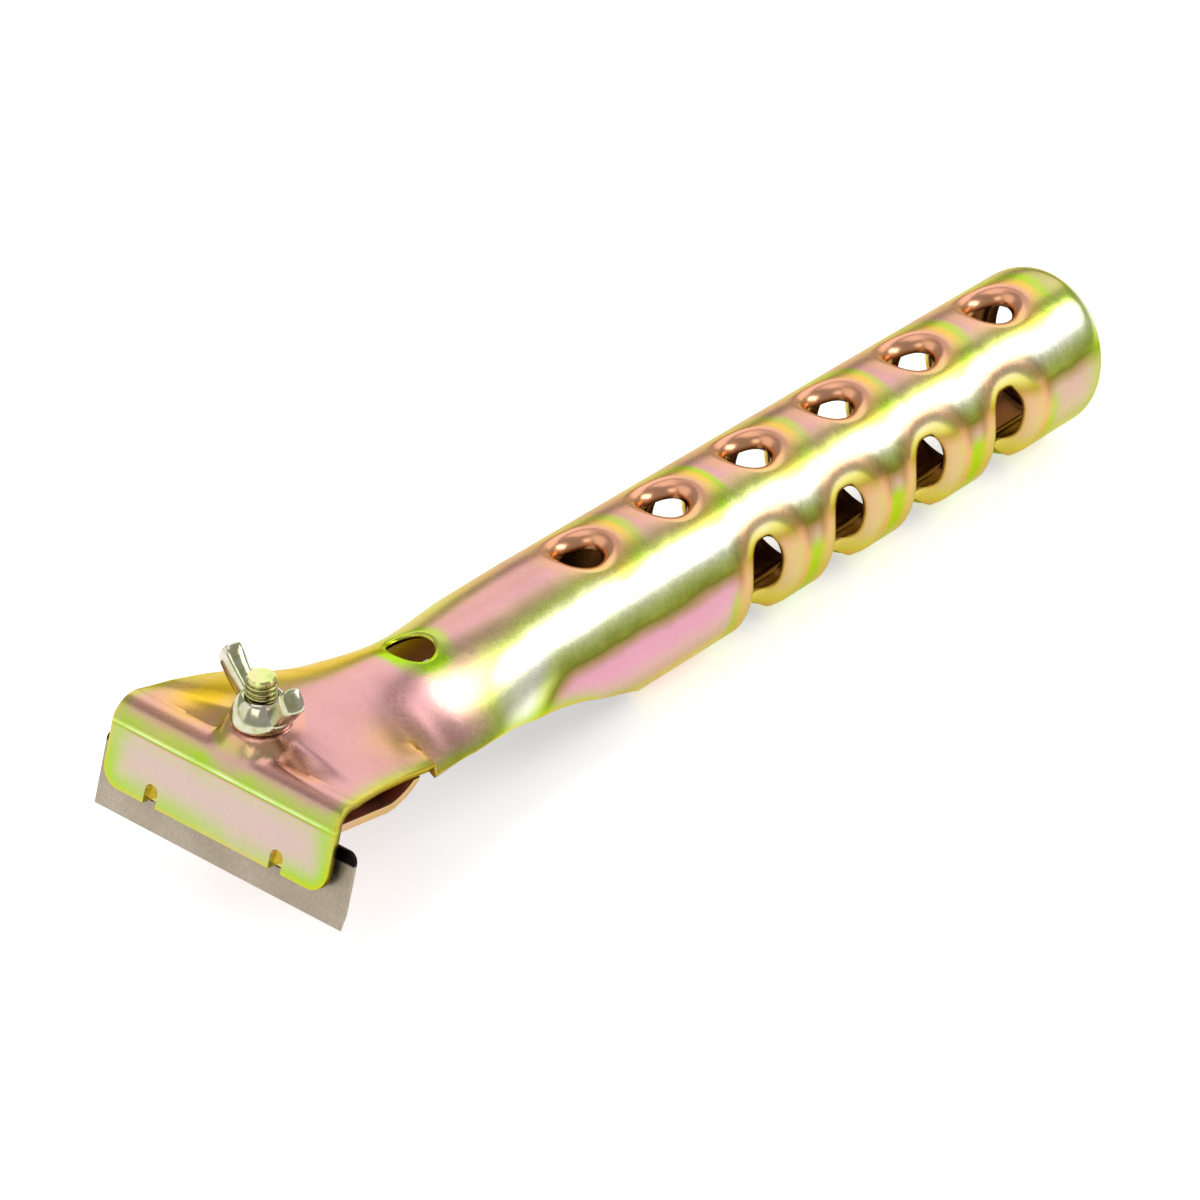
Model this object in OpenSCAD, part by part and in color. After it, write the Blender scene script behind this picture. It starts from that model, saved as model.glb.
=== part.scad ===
// Paint scraper pressed from sheet steel: a tubular grip that opens out into a folded
// head, with a blade held under the head by a strap, a bolt and a wing nut.
// The grip's axis is X, with the head at the low end, and Z is up. All sizes are in mm.

/* [Sheet] */
// Thickness of the sheet that the handle and the clamp are pressed from
sheet = 1.5; // [1:0.1:2]

/* [Grip] */
// Outside diameter of the grip where it joins the neck
grip_front_d = 33.2; // [30:0.2:36]
// Outside diameter of the grip just before its end turns in
grip_rear_d = 31.6; // [29:0.2:35]
// Spacing of the holes along the grip
pitch = 23.5; // [21:0.5:26]
// Number of holes along the top of the grip
top_holes = 6; // [4:1:8]
// Length of the turned-in end
rim_len = 4.8; // [3:0.2:6]
// How far the end turns in
rim_in = 2.6; // [1:0.1:3.4]
// How much further the end reaches at the crown than at mid-height
rim_slant = 2; // [0:0.1:2.2]

/* [Dents] */
// Throat radius of a hole on the top
top_throat = 4.6; // [4:0.1:5.5]
// Radius at which a hole on the top starts to sink
top_mouth = 8.2; // [6.5:0.1:9]
// Depth of a hole on the top
top_depth = 2.9; // [2:0.1:4]
// Throat half-length of a side hole along the grip
side_throat_x = 4.6; // [4:0.1:5.4]
// Throat half-length of a side hole around the grip
side_throat_s = 10.6; // [8:0.1:10.8]
// Half-length of a side dent along the grip
side_mouth_x = 8.2; // [7:0.1:9.6]
// Half-length of a side dent around the grip
side_mouth_s = 14.8; // [13:0.1:15.6]
// Depth of a side dent
side_depth = 2.7; // [2:0.1:3.4]
// How square the side holes are, where 1 is an ellipse
side_square = 0.75; // [0.65:0.05:1]
// How far the side holes sit behind the middle between two holes of the top
side_shift = 1.2; // [0:0.1:2]
// Width along the grip of the windows across the seam
window_x = 9; // [6:0.5:10]
// Width across the seam of the windows
window_y = 14; // [10:0.5:14.5]

/* [Head] */
// Width of the head at the fold
head_w = 54; // [50:1:60]
// Slope of the head's sides, which is also the lean of the front flange
head_tilt = 16; // [13:0.5:19]
// Height of the front flange from the virtual corner of the fold
flange_h = 17.3; // [15:0.1:20]
// Outside radius of the fold
fold_r = 5; // [4:0.5:6]
// Corner radius of the flange
flange_corner = 4; // [2:0.5:6]
// Length of the neck from the fold to the first ring of holes
neck_len = 76.5; // [70:0.5:84]
// Distance between the two locating lugs
lug_gap = 30.4; // [26:0.2:34]
// Half-width of a locating lug's recess
lug_r = 1.75; // [1.4:0.05:2]
// Radius of the hanging hole in the neck
hang_r = 4.5; // [3.5:0.1:5]

/* [Blade] */
// Width of the blade
blade_w = 60; // [54:1:66]
// Height of the blade
blade_h = 14.7; // [13:0.1:17]
// Thickness of the blade
blade_t = 0.9; // [0.7:0.05:1.1]
// How far the edge stands out below the flange
blade_out = 6; // [4:0.2:8]

/* [Fastener] */
// Thread diameter of the clamp bolt
bolt_d = 6; // [5:0.5:6]
// Length of the bolt above the seat under the strap
bolt_len = 22; // [20:0.5:24]
// Radius of the wing nut's base
nut_base_r = 5.7; // [5:0.1:6.4]
// Height of the wing nut's hub
nut_h = 6; // [5:0.2:7]
// Distance between the tips of the wings
wing_span = 22.4; // [19:0.2:26]
// Turn of the wings from straight across the tool
wing_turn = 13; // [0:1:45]

/* [Hidden] */
$fn = 64;
// Angles round the grip, from the crown: end of the top cells, of the side cells and of the sheet
top_a = 42;
side_a = 158;
seam_a = 178;
// Angle of the sheet's edge where the neck meets the holes, and ahead of where the seam closes
neck_a = 104;
mouth_a = [neck_a, 109.5, 115.5, 124, 138, 163, seam_a, seam_a, seam_a, seam_a];
// Stations along the grip: six to a pitch, the first one half a pitch ahead of the first hole
node_dx = pitch / 6;
x_first = -pitch / 2;
node_count = 6 * top_holes;
x_last = x_first + node_count * node_dx;
r_first = grip_front_d / 2;
// Fold line, where the flat head begins, and the virtual corner of the fold
fold_x = x_first - neck_len;
fold_z = r_first;
corner_x = fold_x - fold_r * cos(head_tilt);
corner_z = fold_z + fold_r * sin(head_tilt);
notch_s = 0.315;
// Neck sections: place along the neck, rise of the ridge, width, edge height, roundness
neck = [
    [0, 0.05, 1, 1, 0],
    [0.027, 1.4, 0.961, 1, 0],
    [0.06, 2.7, 0.931, 1, 0],
    [0.118, 3.0, 0.873, 1, 0],
    [0.223, 2.4, 0.765, 1, 0.05],
    [notch_s, 1.9, 0.667, 1, 0.1],
    [0.323, 1.85, 0.657, 0.908, 0.1],
    [0.419, 1.35, 0.48, 0.769, 0.25],
    [0.511, 0.8, 0.294, 0.61, 0.35],
    [0.589, 0.35, 0.186, 0.53, 0.5],
    [0.668, 0.05, 0.108, 0.462, 0.7],
    [0.76, -0.15, 0.06, 0.357, 0.9],
    [0.838, -0.2, 0.03, 0.281, 1],
    [0.923, -0.1, 0.01, 0.158, 1]
];
neck_rows = len(neck);
ridge_q = 0.3;
// Clamp stack behind the flange, measured square to it, with a hair of play between pieces
play = 0.05;
liner_a = sheet + play;
liner_b = sheet + 0.2;
blade_a = liner_a + sheet + play;
jaw_a = blade_a + blade_t + play;
blade_b = flange_h + blade_out - blade_h;
liner_leg = blade_b + 1.7;
strap_b = liner_b + sheet + 2.3;
clamp_len = 27;
// Bolt line, seat under the strap and seat of the nut on the ridge
bolt_x = fold_x + 0.05 * neck_len;
bolt_b0 = (bolt_x - corner_x) * tan(head_tilt);
strap_under_z = corner_z - bolt_b0 - (strap_b + sheet) / cos(head_tilt);
seat_z = strap_under_z - 0.9;
pad_z = r_first + lookup(0.06, [for (n = neck) [n[0], n[1]]]) + 0.5;
boss_h = 2.5;
hang_x = x_first - 0.443 * neck_len;
// Middle of the tool's length and its lowest line, by the seam, which set the origin
blade_tip_x = corner_x - (flange_h + blade_out) * sin(head_tilt) + blade_a * cos(head_tilt);
front_x = min(blade_tip_x, corner_x - flange_h * sin(head_tilt));
mid_x = (front_x + x_last + rim_len + rim_slant) / 2;
floor_z = grip_r(node_x(6)) * cos(seam_a);

// Sets the tool over the origin: middle of its length, lowest line of the grip
module placed() {
    translate([-mid_x, 0, -floor_z]) children();
}

// Head frame: X runs back along the head's side edges, Z up along the flange
module in_head() {
    translate([corner_x, 0, corner_z]) rotate([0, head_tilt, 0]) children();
}

// Extrudes a profile drawn as [back from the flange, down from the head] across the tool
module across(w) {
    rotate([90, 0, 0]) translate([0, 0, -w / 2]) linear_extrude(w) scale([1, -1]) children();
}

// Points are rounded so that neighbouring patches share their edges exactly
function snap(p) = [for (c = p) round(c * 1e4) / 1e4];
function mix(a, b, t) = a + (b - a) * t;
function unit(v) = v / norm(v);

// Grip: outside radius along its length, and a point at an angle and a depth under its face
function node_x(i) = x_first + i * node_dx;
function grip_r(x) = mix(grip_front_d, grip_rear_d, (x - x_first) / (x_last - x_first)) / 2;
function grip(x, a, d) = snap([x, (grip_r(x) - d) * sin(a), (grip_r(x) - d) * cos(a)]);

// Neck: edge point and ridge of the sheet's section at row i
function neck_edge_y(i) = mix(r_first * sin(neck_a), head_w / 2 - 0.5, neck[i][2]);
function flat_z(s) = fold_z - s * neck_len * tan(head_tilt);
function neck_edge_z(i) = neck[i][3] == 1 ? flat_z(neck[i][0])
    : mix(r_first * cos(neck_a), flat_z(notch_s), neck[i][3]);
function neck_drop(i) = max(r_first + neck[i][1] - neck_edge_z(i), 0.02);
function bow(w) = sqrt(w * w + ridge_q * ridge_q) - ridge_q;
function roof(w) = bow(w) / bow(1);
function roof_pt(y, d, w) = [w * y, -d * roof(w)];
function arc_pt(y, d, w) = let (r = (y * y + d * d) / (2 * d), a = 2 * atan2(d, y))
    [r * sin(w * a), r * cos(w * a) - r];
function neck_out(i, w) = let (y = neck_edge_y(i), d = neck_drop(i))
    mix(roof_pt(y, d, w), arc_pt(y, d, w), neck[i][4]);
// Section point at fraction w of the half-width and depth d under the outer face
function neck_pt(i, w, d) = let (
        p = neck_out(i, w),
        t = unit(neck_out(i, w + 0.01) - neck_out(i, w - 0.01))
    ) snap([fold_x + neck[i][0] * neck_len, p[0] + d * t[1], r_first + neck[i][1] + p[1] - d * t[0]]);

// Fold and flange: rows of straight lines across, from the fold line down to the flange's edge
function head_pt(a, b, y) = snap([
    corner_x + a * cos(head_tilt) - b * sin(head_tilt), y,
    corner_z - a * sin(head_tilt) - b * cos(head_tilt)]);
function fold_pt(v, w, d) = head_pt(
    fold_r - (fold_r - d) * sin(v),
    fold_r - (fold_r - d) * cos(v),
    w * (head_w / 2 - 0.5 * cos(v)));
function corner_in(b) = let (e = max(b - flange_h + flange_corner, 0))
    flange_corner - sqrt(flange_corner * flange_corner - e * e);
function flange_pt(b, w, d) = head_pt(d, b, w * (head_w / 2 - corner_in(b)));

// Places across the sheet, shared by the neck and the first ring of the grip
side_steps = 8;
function side_f(j) = j <= 6 ? j / 6 * (side_a - top_a) / (seam_a - top_a)
    : mix((side_a - top_a) / (seam_a - top_a), 1, (j - 6) / 2);
function side_angle(j, e) = mix(top_a, e, side_f(j));
function across_angle(j, e) = j < side_steps ? -side_angle(side_steps - j, e)
    : j <= side_steps + 6 ? mix(-top_a, top_a, (j - side_steps) / 6)
    : side_angle(j - side_steps - 6, e);
across_steps = 2 * side_steps + 6;
function across_w(j) = across_angle(j, neck_a) / neck_a;

// Front patch: flange, fold and neck, row by row, then the first ring of the grip
flange_low = [for (e = [0, 0.3, 1.2, 2.4, flange_corner]) flange_h - e];
flange_b = concat(flange_low, [9, fold_r]);
fold_v = [75, 60, 45, 30, 15];
flange_rows = len(flange_b);
fold_rows = len(fold_v);
front_rows = flange_rows + fold_rows + neck_rows + 1;
function front_pt(i, j, d) = let (w = across_w(j))
    i < flange_rows ? flange_pt(flange_b[i], w, d)
    : i < flange_rows + fold_rows ? fold_pt(fold_v[i - flange_rows], w, d)
    : i < front_rows - 1 ? (i == flange_rows + fold_rows ? fold_pt(0, w, d)
        : neck_pt(i - flange_rows - fold_rows, w, d))
    : grip(x_first, across_angle(j, neck_a), d);

// Side patches of the grip ahead of the side holes and behind them, and the strips by the seam
first_side = 9;
last_side = node_count - 3;
function edge_a(i) = i < len(mouth_a) ? mouth_a[i] : seam_a;
function side_pt(i, j, d, sgn) = grip(node_x(i), sgn * side_angle(j, edge_a(i)), d);

// Turned-in end: rows of [length, inset]
rim_rows = [[0, 0], [0.4, 0.07], [0.72, 0.32], [0.92, 0.68], [1, 1]];
function rim_pt(i, j, d) = let (
        a = across_angle(j, seam_a),
        x = x_last + rim_rows[i][0] * (rim_len + rim_slant * cos(a)),
        r = grip_r(x_last) - rim_rows[i][1] * rim_in - d
    ) i == 0 ? grip(node_x(node_count), a, d) : snap([x, r * sin(a), r * cos(a)]);

// One sunken hole: a ring of cells from a square outline, over the lip, down to the throat
// A dent is [half-length, half-width round the grip, squareness, shift], and keeps inside its cell
cell_steps = 24;
cell_rings = 4;
cell_arc = PI / 180 * grip_rear_d / 2;
top_edge = min(top_mouth, pitch / 2 - 0.6);
top_dent = [top_edge, top_edge, 1, 0];
side_dent = [
    min(side_mouth_x, pitch / 2 - side_shift - 0.6),
    min(side_mouth_s, (side_a - top_a) / 2 * cell_arc - 0.3),
    side_square,
    side_shift];
function squared(c, e) = sign(c) * pow(abs(c), e);
function cell_edge(i0, a0, a1, k) = k < 6 ? [node_x(i0 + k), a0]
    : k < 12 ? [node_x(i0 + 6), mix(a0, a1, (k - 6) / 6)]
    : k < 18 ? [node_x(i0 + 18 - k), a1]
    : [node_x(i0), mix(a0, a1, (24 - k) / 6)];
function cell_pt(i0, a0, a1, mouth, throat, depth, ring, k, d) = let (
        c = [node_x(i0 + 3) + mouth[3], (a0 + a1) / 2],
        arc = grip_r(c[0]) * PI / 180,
        e = cell_edge(i0, a0, a1, k % cell_steps),
        th = atan2((e[1] - c[1]) * arc / mouth[1], (e[0] - c[0]) / mouth[0]),
        v = (ring - 1) * 30,
        p = [for (q = [0, 1])
            mix(mouth[q], throat[q], sin(v)) * squared(q == 0 ? cos(th) : sin(th), mouth[2])],
        o = p + unit(p) * d * sin(v)
    ) ring == 0 ? grip(e[0], e[1], d)
    : grip(c[0] + o[0], c[1] + o[1] / arc, depth * (1 - cos(v)) + d * cos(v));

// Two triangles of a four-sided cell, turned over for inner faces
function quad(a, b, c, d, flip) = flip ? [[a, b, c], [a, c, d]] : [[a, c, b], [a, d, c]];

// Faces of a patch given as a grid of points f(i, j, depth): outer and inner sides
function front_faces() = [for (i = [0:front_rows - 2], j = [0:across_steps - 1], d = [0, sheet])
    each quad(
        front_pt(i, j, d), front_pt(i + 1, j, d),
        front_pt(i + 1, j + 1, d), front_pt(i, j + 1, d), d > 0)];
function rim_faces() = [for (i = [0:len(rim_rows) - 2], j = [0:across_steps - 1], d = [0, sheet])
    each quad(rim_pt(i, j, d), rim_pt(i + 1, j, d), rim_pt(i + 1, j + 1, d), rim_pt(i, j + 1, d), d > 0)];
function side_faces(i0, i1, j0, j1) = i1 <= i0 ? [] : [
    for (i = [i0:i1 - 1], j = [j0:j1 - 1], d = [0, sheet], s = [-1, 1])
    each quad(
        side_pt(i, j, d, s), side_pt(i + 1, j, d, s),
        side_pt(i + 1, j + 1, d, s), side_pt(i, j + 1, d, s), (d > 0) != (s < 0))];
function cell_faces(i0, a0, a1, m, t, h) = concat(
    [for (g = [0:cell_rings - 1], k = [0:cell_steps - 1], d = [0, sheet])
        each quad(
            cell_pt(i0, a0, a1, m, t, h, g, k, d), cell_pt(i0, a0, a1, m, t, h, g, k + 1, d),
            cell_pt(i0, a0, a1, m, t, h, g + 1, k + 1, d),
            cell_pt(i0, a0, a1, m, t, h, g + 1, k, d), d > 0)],
    [for (k = [0:cell_steps - 1])
        each quad(
            cell_pt(i0, a0, a1, m, t, h, cell_rings, k, 0),
            cell_pt(i0, a0, a1, m, t, h, cell_rings, k + 1, 0),
            cell_pt(i0, a0, a1, m, t, h, cell_rings, k + 1, sheet),
            cell_pt(i0, a0, a1, m, t, h, cell_rings, k, sheet), false)]);

// Cut edges of the sheet: front, rear and the two long edges
function end_faces() = concat(
    [for (j = [0:across_steps - 1])
        each quad(
            front_pt(0, j, 0), front_pt(0, j + 1, 0),
            front_pt(0, j + 1, sheet), front_pt(0, j, sheet), false)],
    [for (j = [0:across_steps - 1]) let (i = len(rim_rows) - 1)
        each quad(
            rim_pt(i, j, 0), rim_pt(i, j + 1, 0),
            rim_pt(i, j + 1, sheet), rim_pt(i, j, sheet), true)]);
function long_edge_faces() = [for (s = [0, 1]) each concat(
    [for (i = [0:front_rows - 2]) let (j = s * across_steps)
        each quad(
            front_pt(i, j, 0), front_pt(i + 1, j, 0),
            front_pt(i + 1, j, sheet), front_pt(i, j, sheet), s == 0)],
    [for (i = [0:node_count - 1]) let (g = 2 * s - 1, j = side_steps)
        each quad(
            side_pt(i, j, 0, g), side_pt(i + 1, j, 0, g),
            side_pt(i + 1, j, sheet, g), side_pt(i, j, sheet, g), s == 0)],
    [for (i = [0:len(rim_rows) - 2]) let (j = s * across_steps)
        each quad(
            rim_pt(i, j, 0), rim_pt(i + 1, j, 0),
            rim_pt(i + 1, j, sheet), rim_pt(i, j, sheet), s == 0)])];

// Pressed sheet of the handle, from the flange's edge to the turned-in end
module pressed_sheet() {
    tris = concat(
        front_faces(), rim_faces(), end_faces(), long_edge_faces(),
        side_faces(0, first_side, 0, side_steps),
        side_faces(last_side, node_count, 0, side_steps),
        side_faces(first_side, last_side, 6, side_steps),
        [for (h = [0:top_holes - 1]) each cell_faces(6 * h, -top_a, top_a,
            top_dent, [top_throat, top_throat], top_depth)],
        [for (h = [0:top_holes - 3]) each cell_faces(first_side + 6 * h, top_a, side_a,
            side_dent, [side_throat_x, side_throat_s], side_depth)],
        [for (h = [0:top_holes - 3]) each cell_faces(first_side + 6 * h, -side_a, -top_a,
            side_dent, [side_throat_x, side_throat_s], side_depth)]);
    polyhedron(
        points = [for (t = tris, p = t) p],
        faces = [for (i = [0:len(tris) - 1]) [3 * i, 3 * i + 1, 3 * i + 2]]
    );
}

// Half-round lug outline in the flange, open at its lower edge: [half-width, height]
module lug_outline(r) {
    circle(r);
    translate([-flange_h, -r]) square([flange_h, 2 * r]);
}

// Places a lug outline on the flange's front and pushes it back by a given depth
module lugs(r, a0, a1) {
    for (s = [-1, 1])
        in_head() translate([a0, s * lug_gap / 2, lug_r - flange_h + 1.9]) rotate([0, 90, 0]) rotate(180)
            linear_extrude(a1 - a0) lug_outline(r);
}

// Keeps only what lies above the flange's lower edge
module above_flange_edge() {
    intersection() {
        children();
        in_head() translate([-1, -head_w, 0.2 - flange_h]) cube([20, 2 * head_w, flange_h]);
    }
}

// Window across the seam, with rounded corners
module seam_window() {
    r = 2;
    for (x = [-1, 1], y = [-1, 1])
        translate([x * (window_x / 2 - r), y * (window_y / 2 - r), -r_first - 5]) cylinder(r = r, h = 16);
    translate([-window_x / 2, -window_y / 2 + r, -r_first - 5]) cube([window_x, window_y - 2 * r, 16]);
    translate([-window_x / 2 + r, -window_y / 2, -r_first - 5]) cube([window_x - 2 * r, window_y, 16]);
}

module handle_shell() {
    color([0.80, 0.72, 0.38]) difference() {
        union() {
            pressed_sheet();
            translate([bolt_x, 0, pad_z - boss_h])
                cylinder(r1 = nut_base_r + 1.9, r2 = nut_base_r + 0.4, h = boss_h);
            above_flange_edge() lugs(lug_r + 0.45, sheet - 0.3, jaw_a - 2 * play);
        }
        lugs(lug_r, -1, jaw_a - 2 * play - sheet);
        translate([bolt_x, 0, pad_z - 12]) cylinder(d = bolt_d + 0.8, h = 20);
        translate([hang_x, 0, 0]) cylinder(r = hang_r, h = 40);
        for (h = [0:top_holes - 3]) translate([node_x(first_side + 3 + 6 * h), 0, 0]) seam_window();
    }
}

// Angle of sheet lining the fold: a leaf under the head and a leg behind the flange
module backing_angle() {
    r = fold_r - liner_b;
    c = [liner_a + r, liner_b + r];
    color([0.78, 0.70, 0.40]) difference() {
        in_head() intersection() {
            across(head_w) {
                difference() {
                    translate(c) circle(r);
                    translate(c) circle(r - sheet);
                    translate([c[0], 0]) square([20, 20]);
                    translate([0, c[1]]) square([20, 20]);
                }
                translate([c[0], liner_b]) square([clamp_len - c[0], sheet]);
                translate([liner_a, c[1]]) square([sheet, liner_leg - c[1]]);
            }
            translate([0, 0, -20]) linear_extrude(20) polygon([
                [0, -head_w / 2 + 0.5], [clamp_len, -head_w / 2 + 0.5 + 0.15 * clamp_len],
                [clamp_len, head_w / 2 - 0.5 - 0.15 * clamp_len], [0, head_w / 2 - 0.5]]);
        }
        translate([bolt_x, 0, 0]) cylinder(d = bolt_d + 2, h = 30);
    }
}

// Flat blade with a ground edge and two notches that straddle the lugs
module blade() {
    edge_b = blade_b + blade_h;
    notch_b = flange_h + 0.5;
    r = 2;
    color([0.62, 0.57, 0.48]) in_head() difference() {
        across(blade_w) polygon([
            [blade_a, blade_b], [blade_a + blade_t, blade_b], [blade_a + blade_t, edge_b - 3],
            [blade_a + 0.1, edge_b], [blade_a, edge_b]]);
        for (s = [-1, 1]) {
            translate([blade_a - 1, s * lug_gap / 2 - lug_r - 0.6, -notch_b])
                cube([3, 2 * lug_r + 1.2, notch_b]);
            translate([blade_a - 1, s * (blade_w / 2 - r), -blade_b - r]) difference() {
                translate([0, s > 0 ? 0 : -r - 1, 0]) cube([3, r + 1, r + 1]);
                rotate([0, 90, 0]) cylinder(r = r, h = 3);
            }
        }
    }
}

// Bowed strap under the head: flat front, heel curving up to the leaf
strap_flat = 20;
heel_run = clamp_len - 2.4 - strap_flat;
heel_rise = strap_b - liner_b - sheet - play;
heel_r = (heel_run * heel_run + heel_rise * heel_rise) / (2 * heel_rise);
heel_a = 2 * atan2(heel_rise, heel_run);
module strap_profile() {
    difference() {
        union() {
            translate([jaw_a, strap_b]) square([strap_flat - jaw_a, sheet]);
            polygon(concat(
                [for (i = [0:8]) let (a = heel_a * 1.25 * i / 8)
                    [strap_flat + heel_r * sin(a), strap_b - heel_r * (1 - cos(a))]],
                [for (i = [8:-1:0]) let (a = heel_a * 1.25 * i / 8)
                    [strap_flat + (heel_r + sheet) * sin(a),
                        strap_b - heel_r + (heel_r + sheet) * cos(a)]]));
        }
        translate([0, strap_b - heel_rise - 5]) square([40, 5]);
        translate([clamp_len, 0]) square([10, 20]);
    }
}
jaw_w = 22;
jaw_r = 3;
jaw_len = 15.4;
module jaw_profile() {
    c = [jaw_a + jaw_r, strap_b + jaw_r];
    difference() {
        translate(c) circle(jaw_r);
        translate(c) circle(jaw_r - sheet);
        translate([c[0], 0]) square([20, 30]);
        translate([0, c[1]]) square([20, 20]);
    }
    translate([jaw_a, c[1]]) square([sheet, jaw_len - c[1]]);
    translate([c[0], strap_b]) square([2, sheet]);
}

module clamp_strap() {
    color([0.76, 0.69, 0.42]) difference() {
        union() {
            in_head() difference() {
                intersection() {
                    across(head_w) strap_profile();
                    translate([0, 0, -20]) linear_extrude(20) polygon([
                        [0, -head_w / 2 + 2], [clamp_len, -head_w / 2 + 2 + 0.15 * clamp_len],
                        [clamp_len, head_w / 2 - 2 - 0.15 * clamp_len], [0, head_w / 2 - 2]]);
                }
                translate([-1, -jaw_w / 2 - 0.6, -20]) cube([jaw_a + jaw_r + 1, jaw_w + 1.2, 20]);
            }
            in_head() across(jaw_w) jaw_profile();
            intersection() {
                translate([bolt_x, 0, seat_z]) cylinder(r = 5.6, h = 10);
                in_head() translate([0, -10, -strap_b - sheet / 2 - 10]) cube([30, 20, 10]);
            }
        }
        translate([bolt_x, 0, seat_z - 10]) cylinder(r = 6, h = 10);
        translate([bolt_x, 0, 0]) cylinder(d = bolt_d + 0.4, h = 30);
    }
}

bolt_head_h = 4;
bolt_head_w = 10;
module clamp_bolt() {
    color([0.74, 0.74, 0.70]) translate([bolt_x, 0, seat_z]) {
        rotate_extrude() polygon([
            [0, -1], [bolt_d / 2 - play, -1], [bolt_d / 2 - play, bolt_len - 0.6],
            [bolt_d / 2 - 0.65, bolt_len], [0, bolt_len]]);
        translate([0, 0, -bolt_head_h]) rotate(30)
            cylinder(d = bolt_head_w / cos(30), h = bolt_head_h, $fn = 6);
    }
}

// Wing outline in the plane of the wings: from the hub out to a rounded tip
wing_t = 4;
module wing_outline() {
    tip = wing_span / 2 - 2.2;
    polygon([[0, 1.2], [nut_base_r - 0.5, 1.2], [tip + 1.9, 6.9], [tip - 1.9, 9.7], [3.6, nut_h]]);
    translate([tip, 8.3]) circle(2.4);
}

module wing_nut() {
    color([0.78, 0.77, 0.72]) translate([bolt_x, 0, pad_z + play]) difference() {
        union() {
            cylinder(r1 = nut_base_r, r2 = nut_base_r - 1.1, h = nut_h);
            for (s = [0, 180]) rotate(90 - wing_turn + s)
                rotate([90, 0, 0]) translate([0, 0, -wing_t / 2]) linear_extrude(wing_t) wing_outline();
        }
        translate([0, 0, -1]) cylinder(d = bolt_d + 0.1, h = 20);
    }
}

placed() handle_shell();
placed() backing_angle();
placed() blade();
placed() clamp_strap();
placed() clamp_bolt();
placed() wing_nut();
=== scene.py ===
# %% [markdown]
# # A paint scraper pressed from plated sheet steel
# The tool is one sheet of steel, rolled into a tube for the grip and folded into a head at
# the front. Under the head a strap, a bolt and a wing nut clamp a flat blade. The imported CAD
# model is loaded first: it gives every piece its place, and its bodies carry the new meshes.

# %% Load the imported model
import math

import bmesh
import bpy
import numpy as np
from mathutils import Matrix, Vector
from mathutils.kdtree import KDTree


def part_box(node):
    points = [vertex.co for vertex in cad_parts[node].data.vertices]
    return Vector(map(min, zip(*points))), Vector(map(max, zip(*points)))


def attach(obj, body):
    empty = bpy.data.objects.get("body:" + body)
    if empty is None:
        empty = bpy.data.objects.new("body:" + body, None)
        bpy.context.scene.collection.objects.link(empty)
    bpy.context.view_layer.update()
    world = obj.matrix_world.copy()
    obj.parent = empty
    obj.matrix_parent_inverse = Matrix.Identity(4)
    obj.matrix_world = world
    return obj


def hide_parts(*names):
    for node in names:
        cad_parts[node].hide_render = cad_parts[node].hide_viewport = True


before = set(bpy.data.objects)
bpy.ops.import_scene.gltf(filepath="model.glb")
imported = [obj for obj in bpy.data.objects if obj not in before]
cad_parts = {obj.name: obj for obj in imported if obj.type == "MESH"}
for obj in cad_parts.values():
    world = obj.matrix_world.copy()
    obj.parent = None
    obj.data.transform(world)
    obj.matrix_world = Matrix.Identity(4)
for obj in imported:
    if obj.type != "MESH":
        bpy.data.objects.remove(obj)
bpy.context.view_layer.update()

# %% [markdown]
# ## Camera, floor and light
# The photograph is a product shot taken from in front of the head, from above and with a long
# lens, so parallel edges stay almost parallel. The camera is placed by its three directions.
# The floor is a plain pale sheet that glows a little for the rays that look straight at it or
# at its mirror image, so it reads as white and still keeps the soft shadow. Polished metal
# only looks like metal when it has something to mirror, so the lamps are large soft panels:
# one behind the right side gives the long streak on the grip, a broad one behind and one at
# the left light the faces that turn away from it, one hangs overhead and one fills from the
# front.

# %% Camera
FOCAL_LENGTH, SENSOR_WIDTH, FAR_CLIP = 286.0, 36.0, 20.0
RIGHT = Vector((0.6633, -0.7483, 0.0099))
UP = Vector((0.4015, 0.3670, 0.8391))
BACK = Vector((-0.6315, -0.5527, 0.5438))
EYE = Vector((-1.11656, -0.96534, 0.96829))

scene = bpy.context.scene
camera_data = bpy.data.cameras.new("camera")
camera_data.lens, camera_data.sensor_width = FOCAL_LENGTH, SENSOR_WIDTH
camera_data.sensor_fit, camera_data.clip_end = "HORIZONTAL", FAR_CLIP
camera = bpy.data.objects.new("camera", camera_data)
camera.matrix_world = Matrix((RIGHT, UP, BACK)).transposed().to_4x4()
camera.matrix_world.translation = EYE
scene.collection.objects.link(camera)
bpy.context.scene.camera = camera
print("camera distance to the tool", round(EYE.length, 3), "m")

# %% Floor and world
FLOOR_HALF, FLOOR_LIFT, WORLD_LIGHT = 4, 0.5, 0.42
WHITE, PAPER = (1, 1, 1, 1), (0.93, 0.93, 0.93, 1)


def add(tree, kind, values=None, **settings):
    """A new node with its own settings and the default values of its sockets."""
    node = tree.nodes.new(kind)
    for name, value in settings.items():
        setattr(node, name, value)
    for name, value in (values or {}).items():
        node.inputs[name].default_value = value
    return node


def maths(tree, operation, first, second, clamp=False):
    """The output of a Math node that is fed by numbers or by other outputs."""
    node = add(tree, "ShaderNodeMath", operation=operation, use_clamp=clamp)
    for socket, value in zip(node.inputs, (first, second)):
        if isinstance(value, (int, float)):
            socket.default_value = value
        else:
            tree.links.new(value, socket)
    return node.outputs[0]


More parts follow.
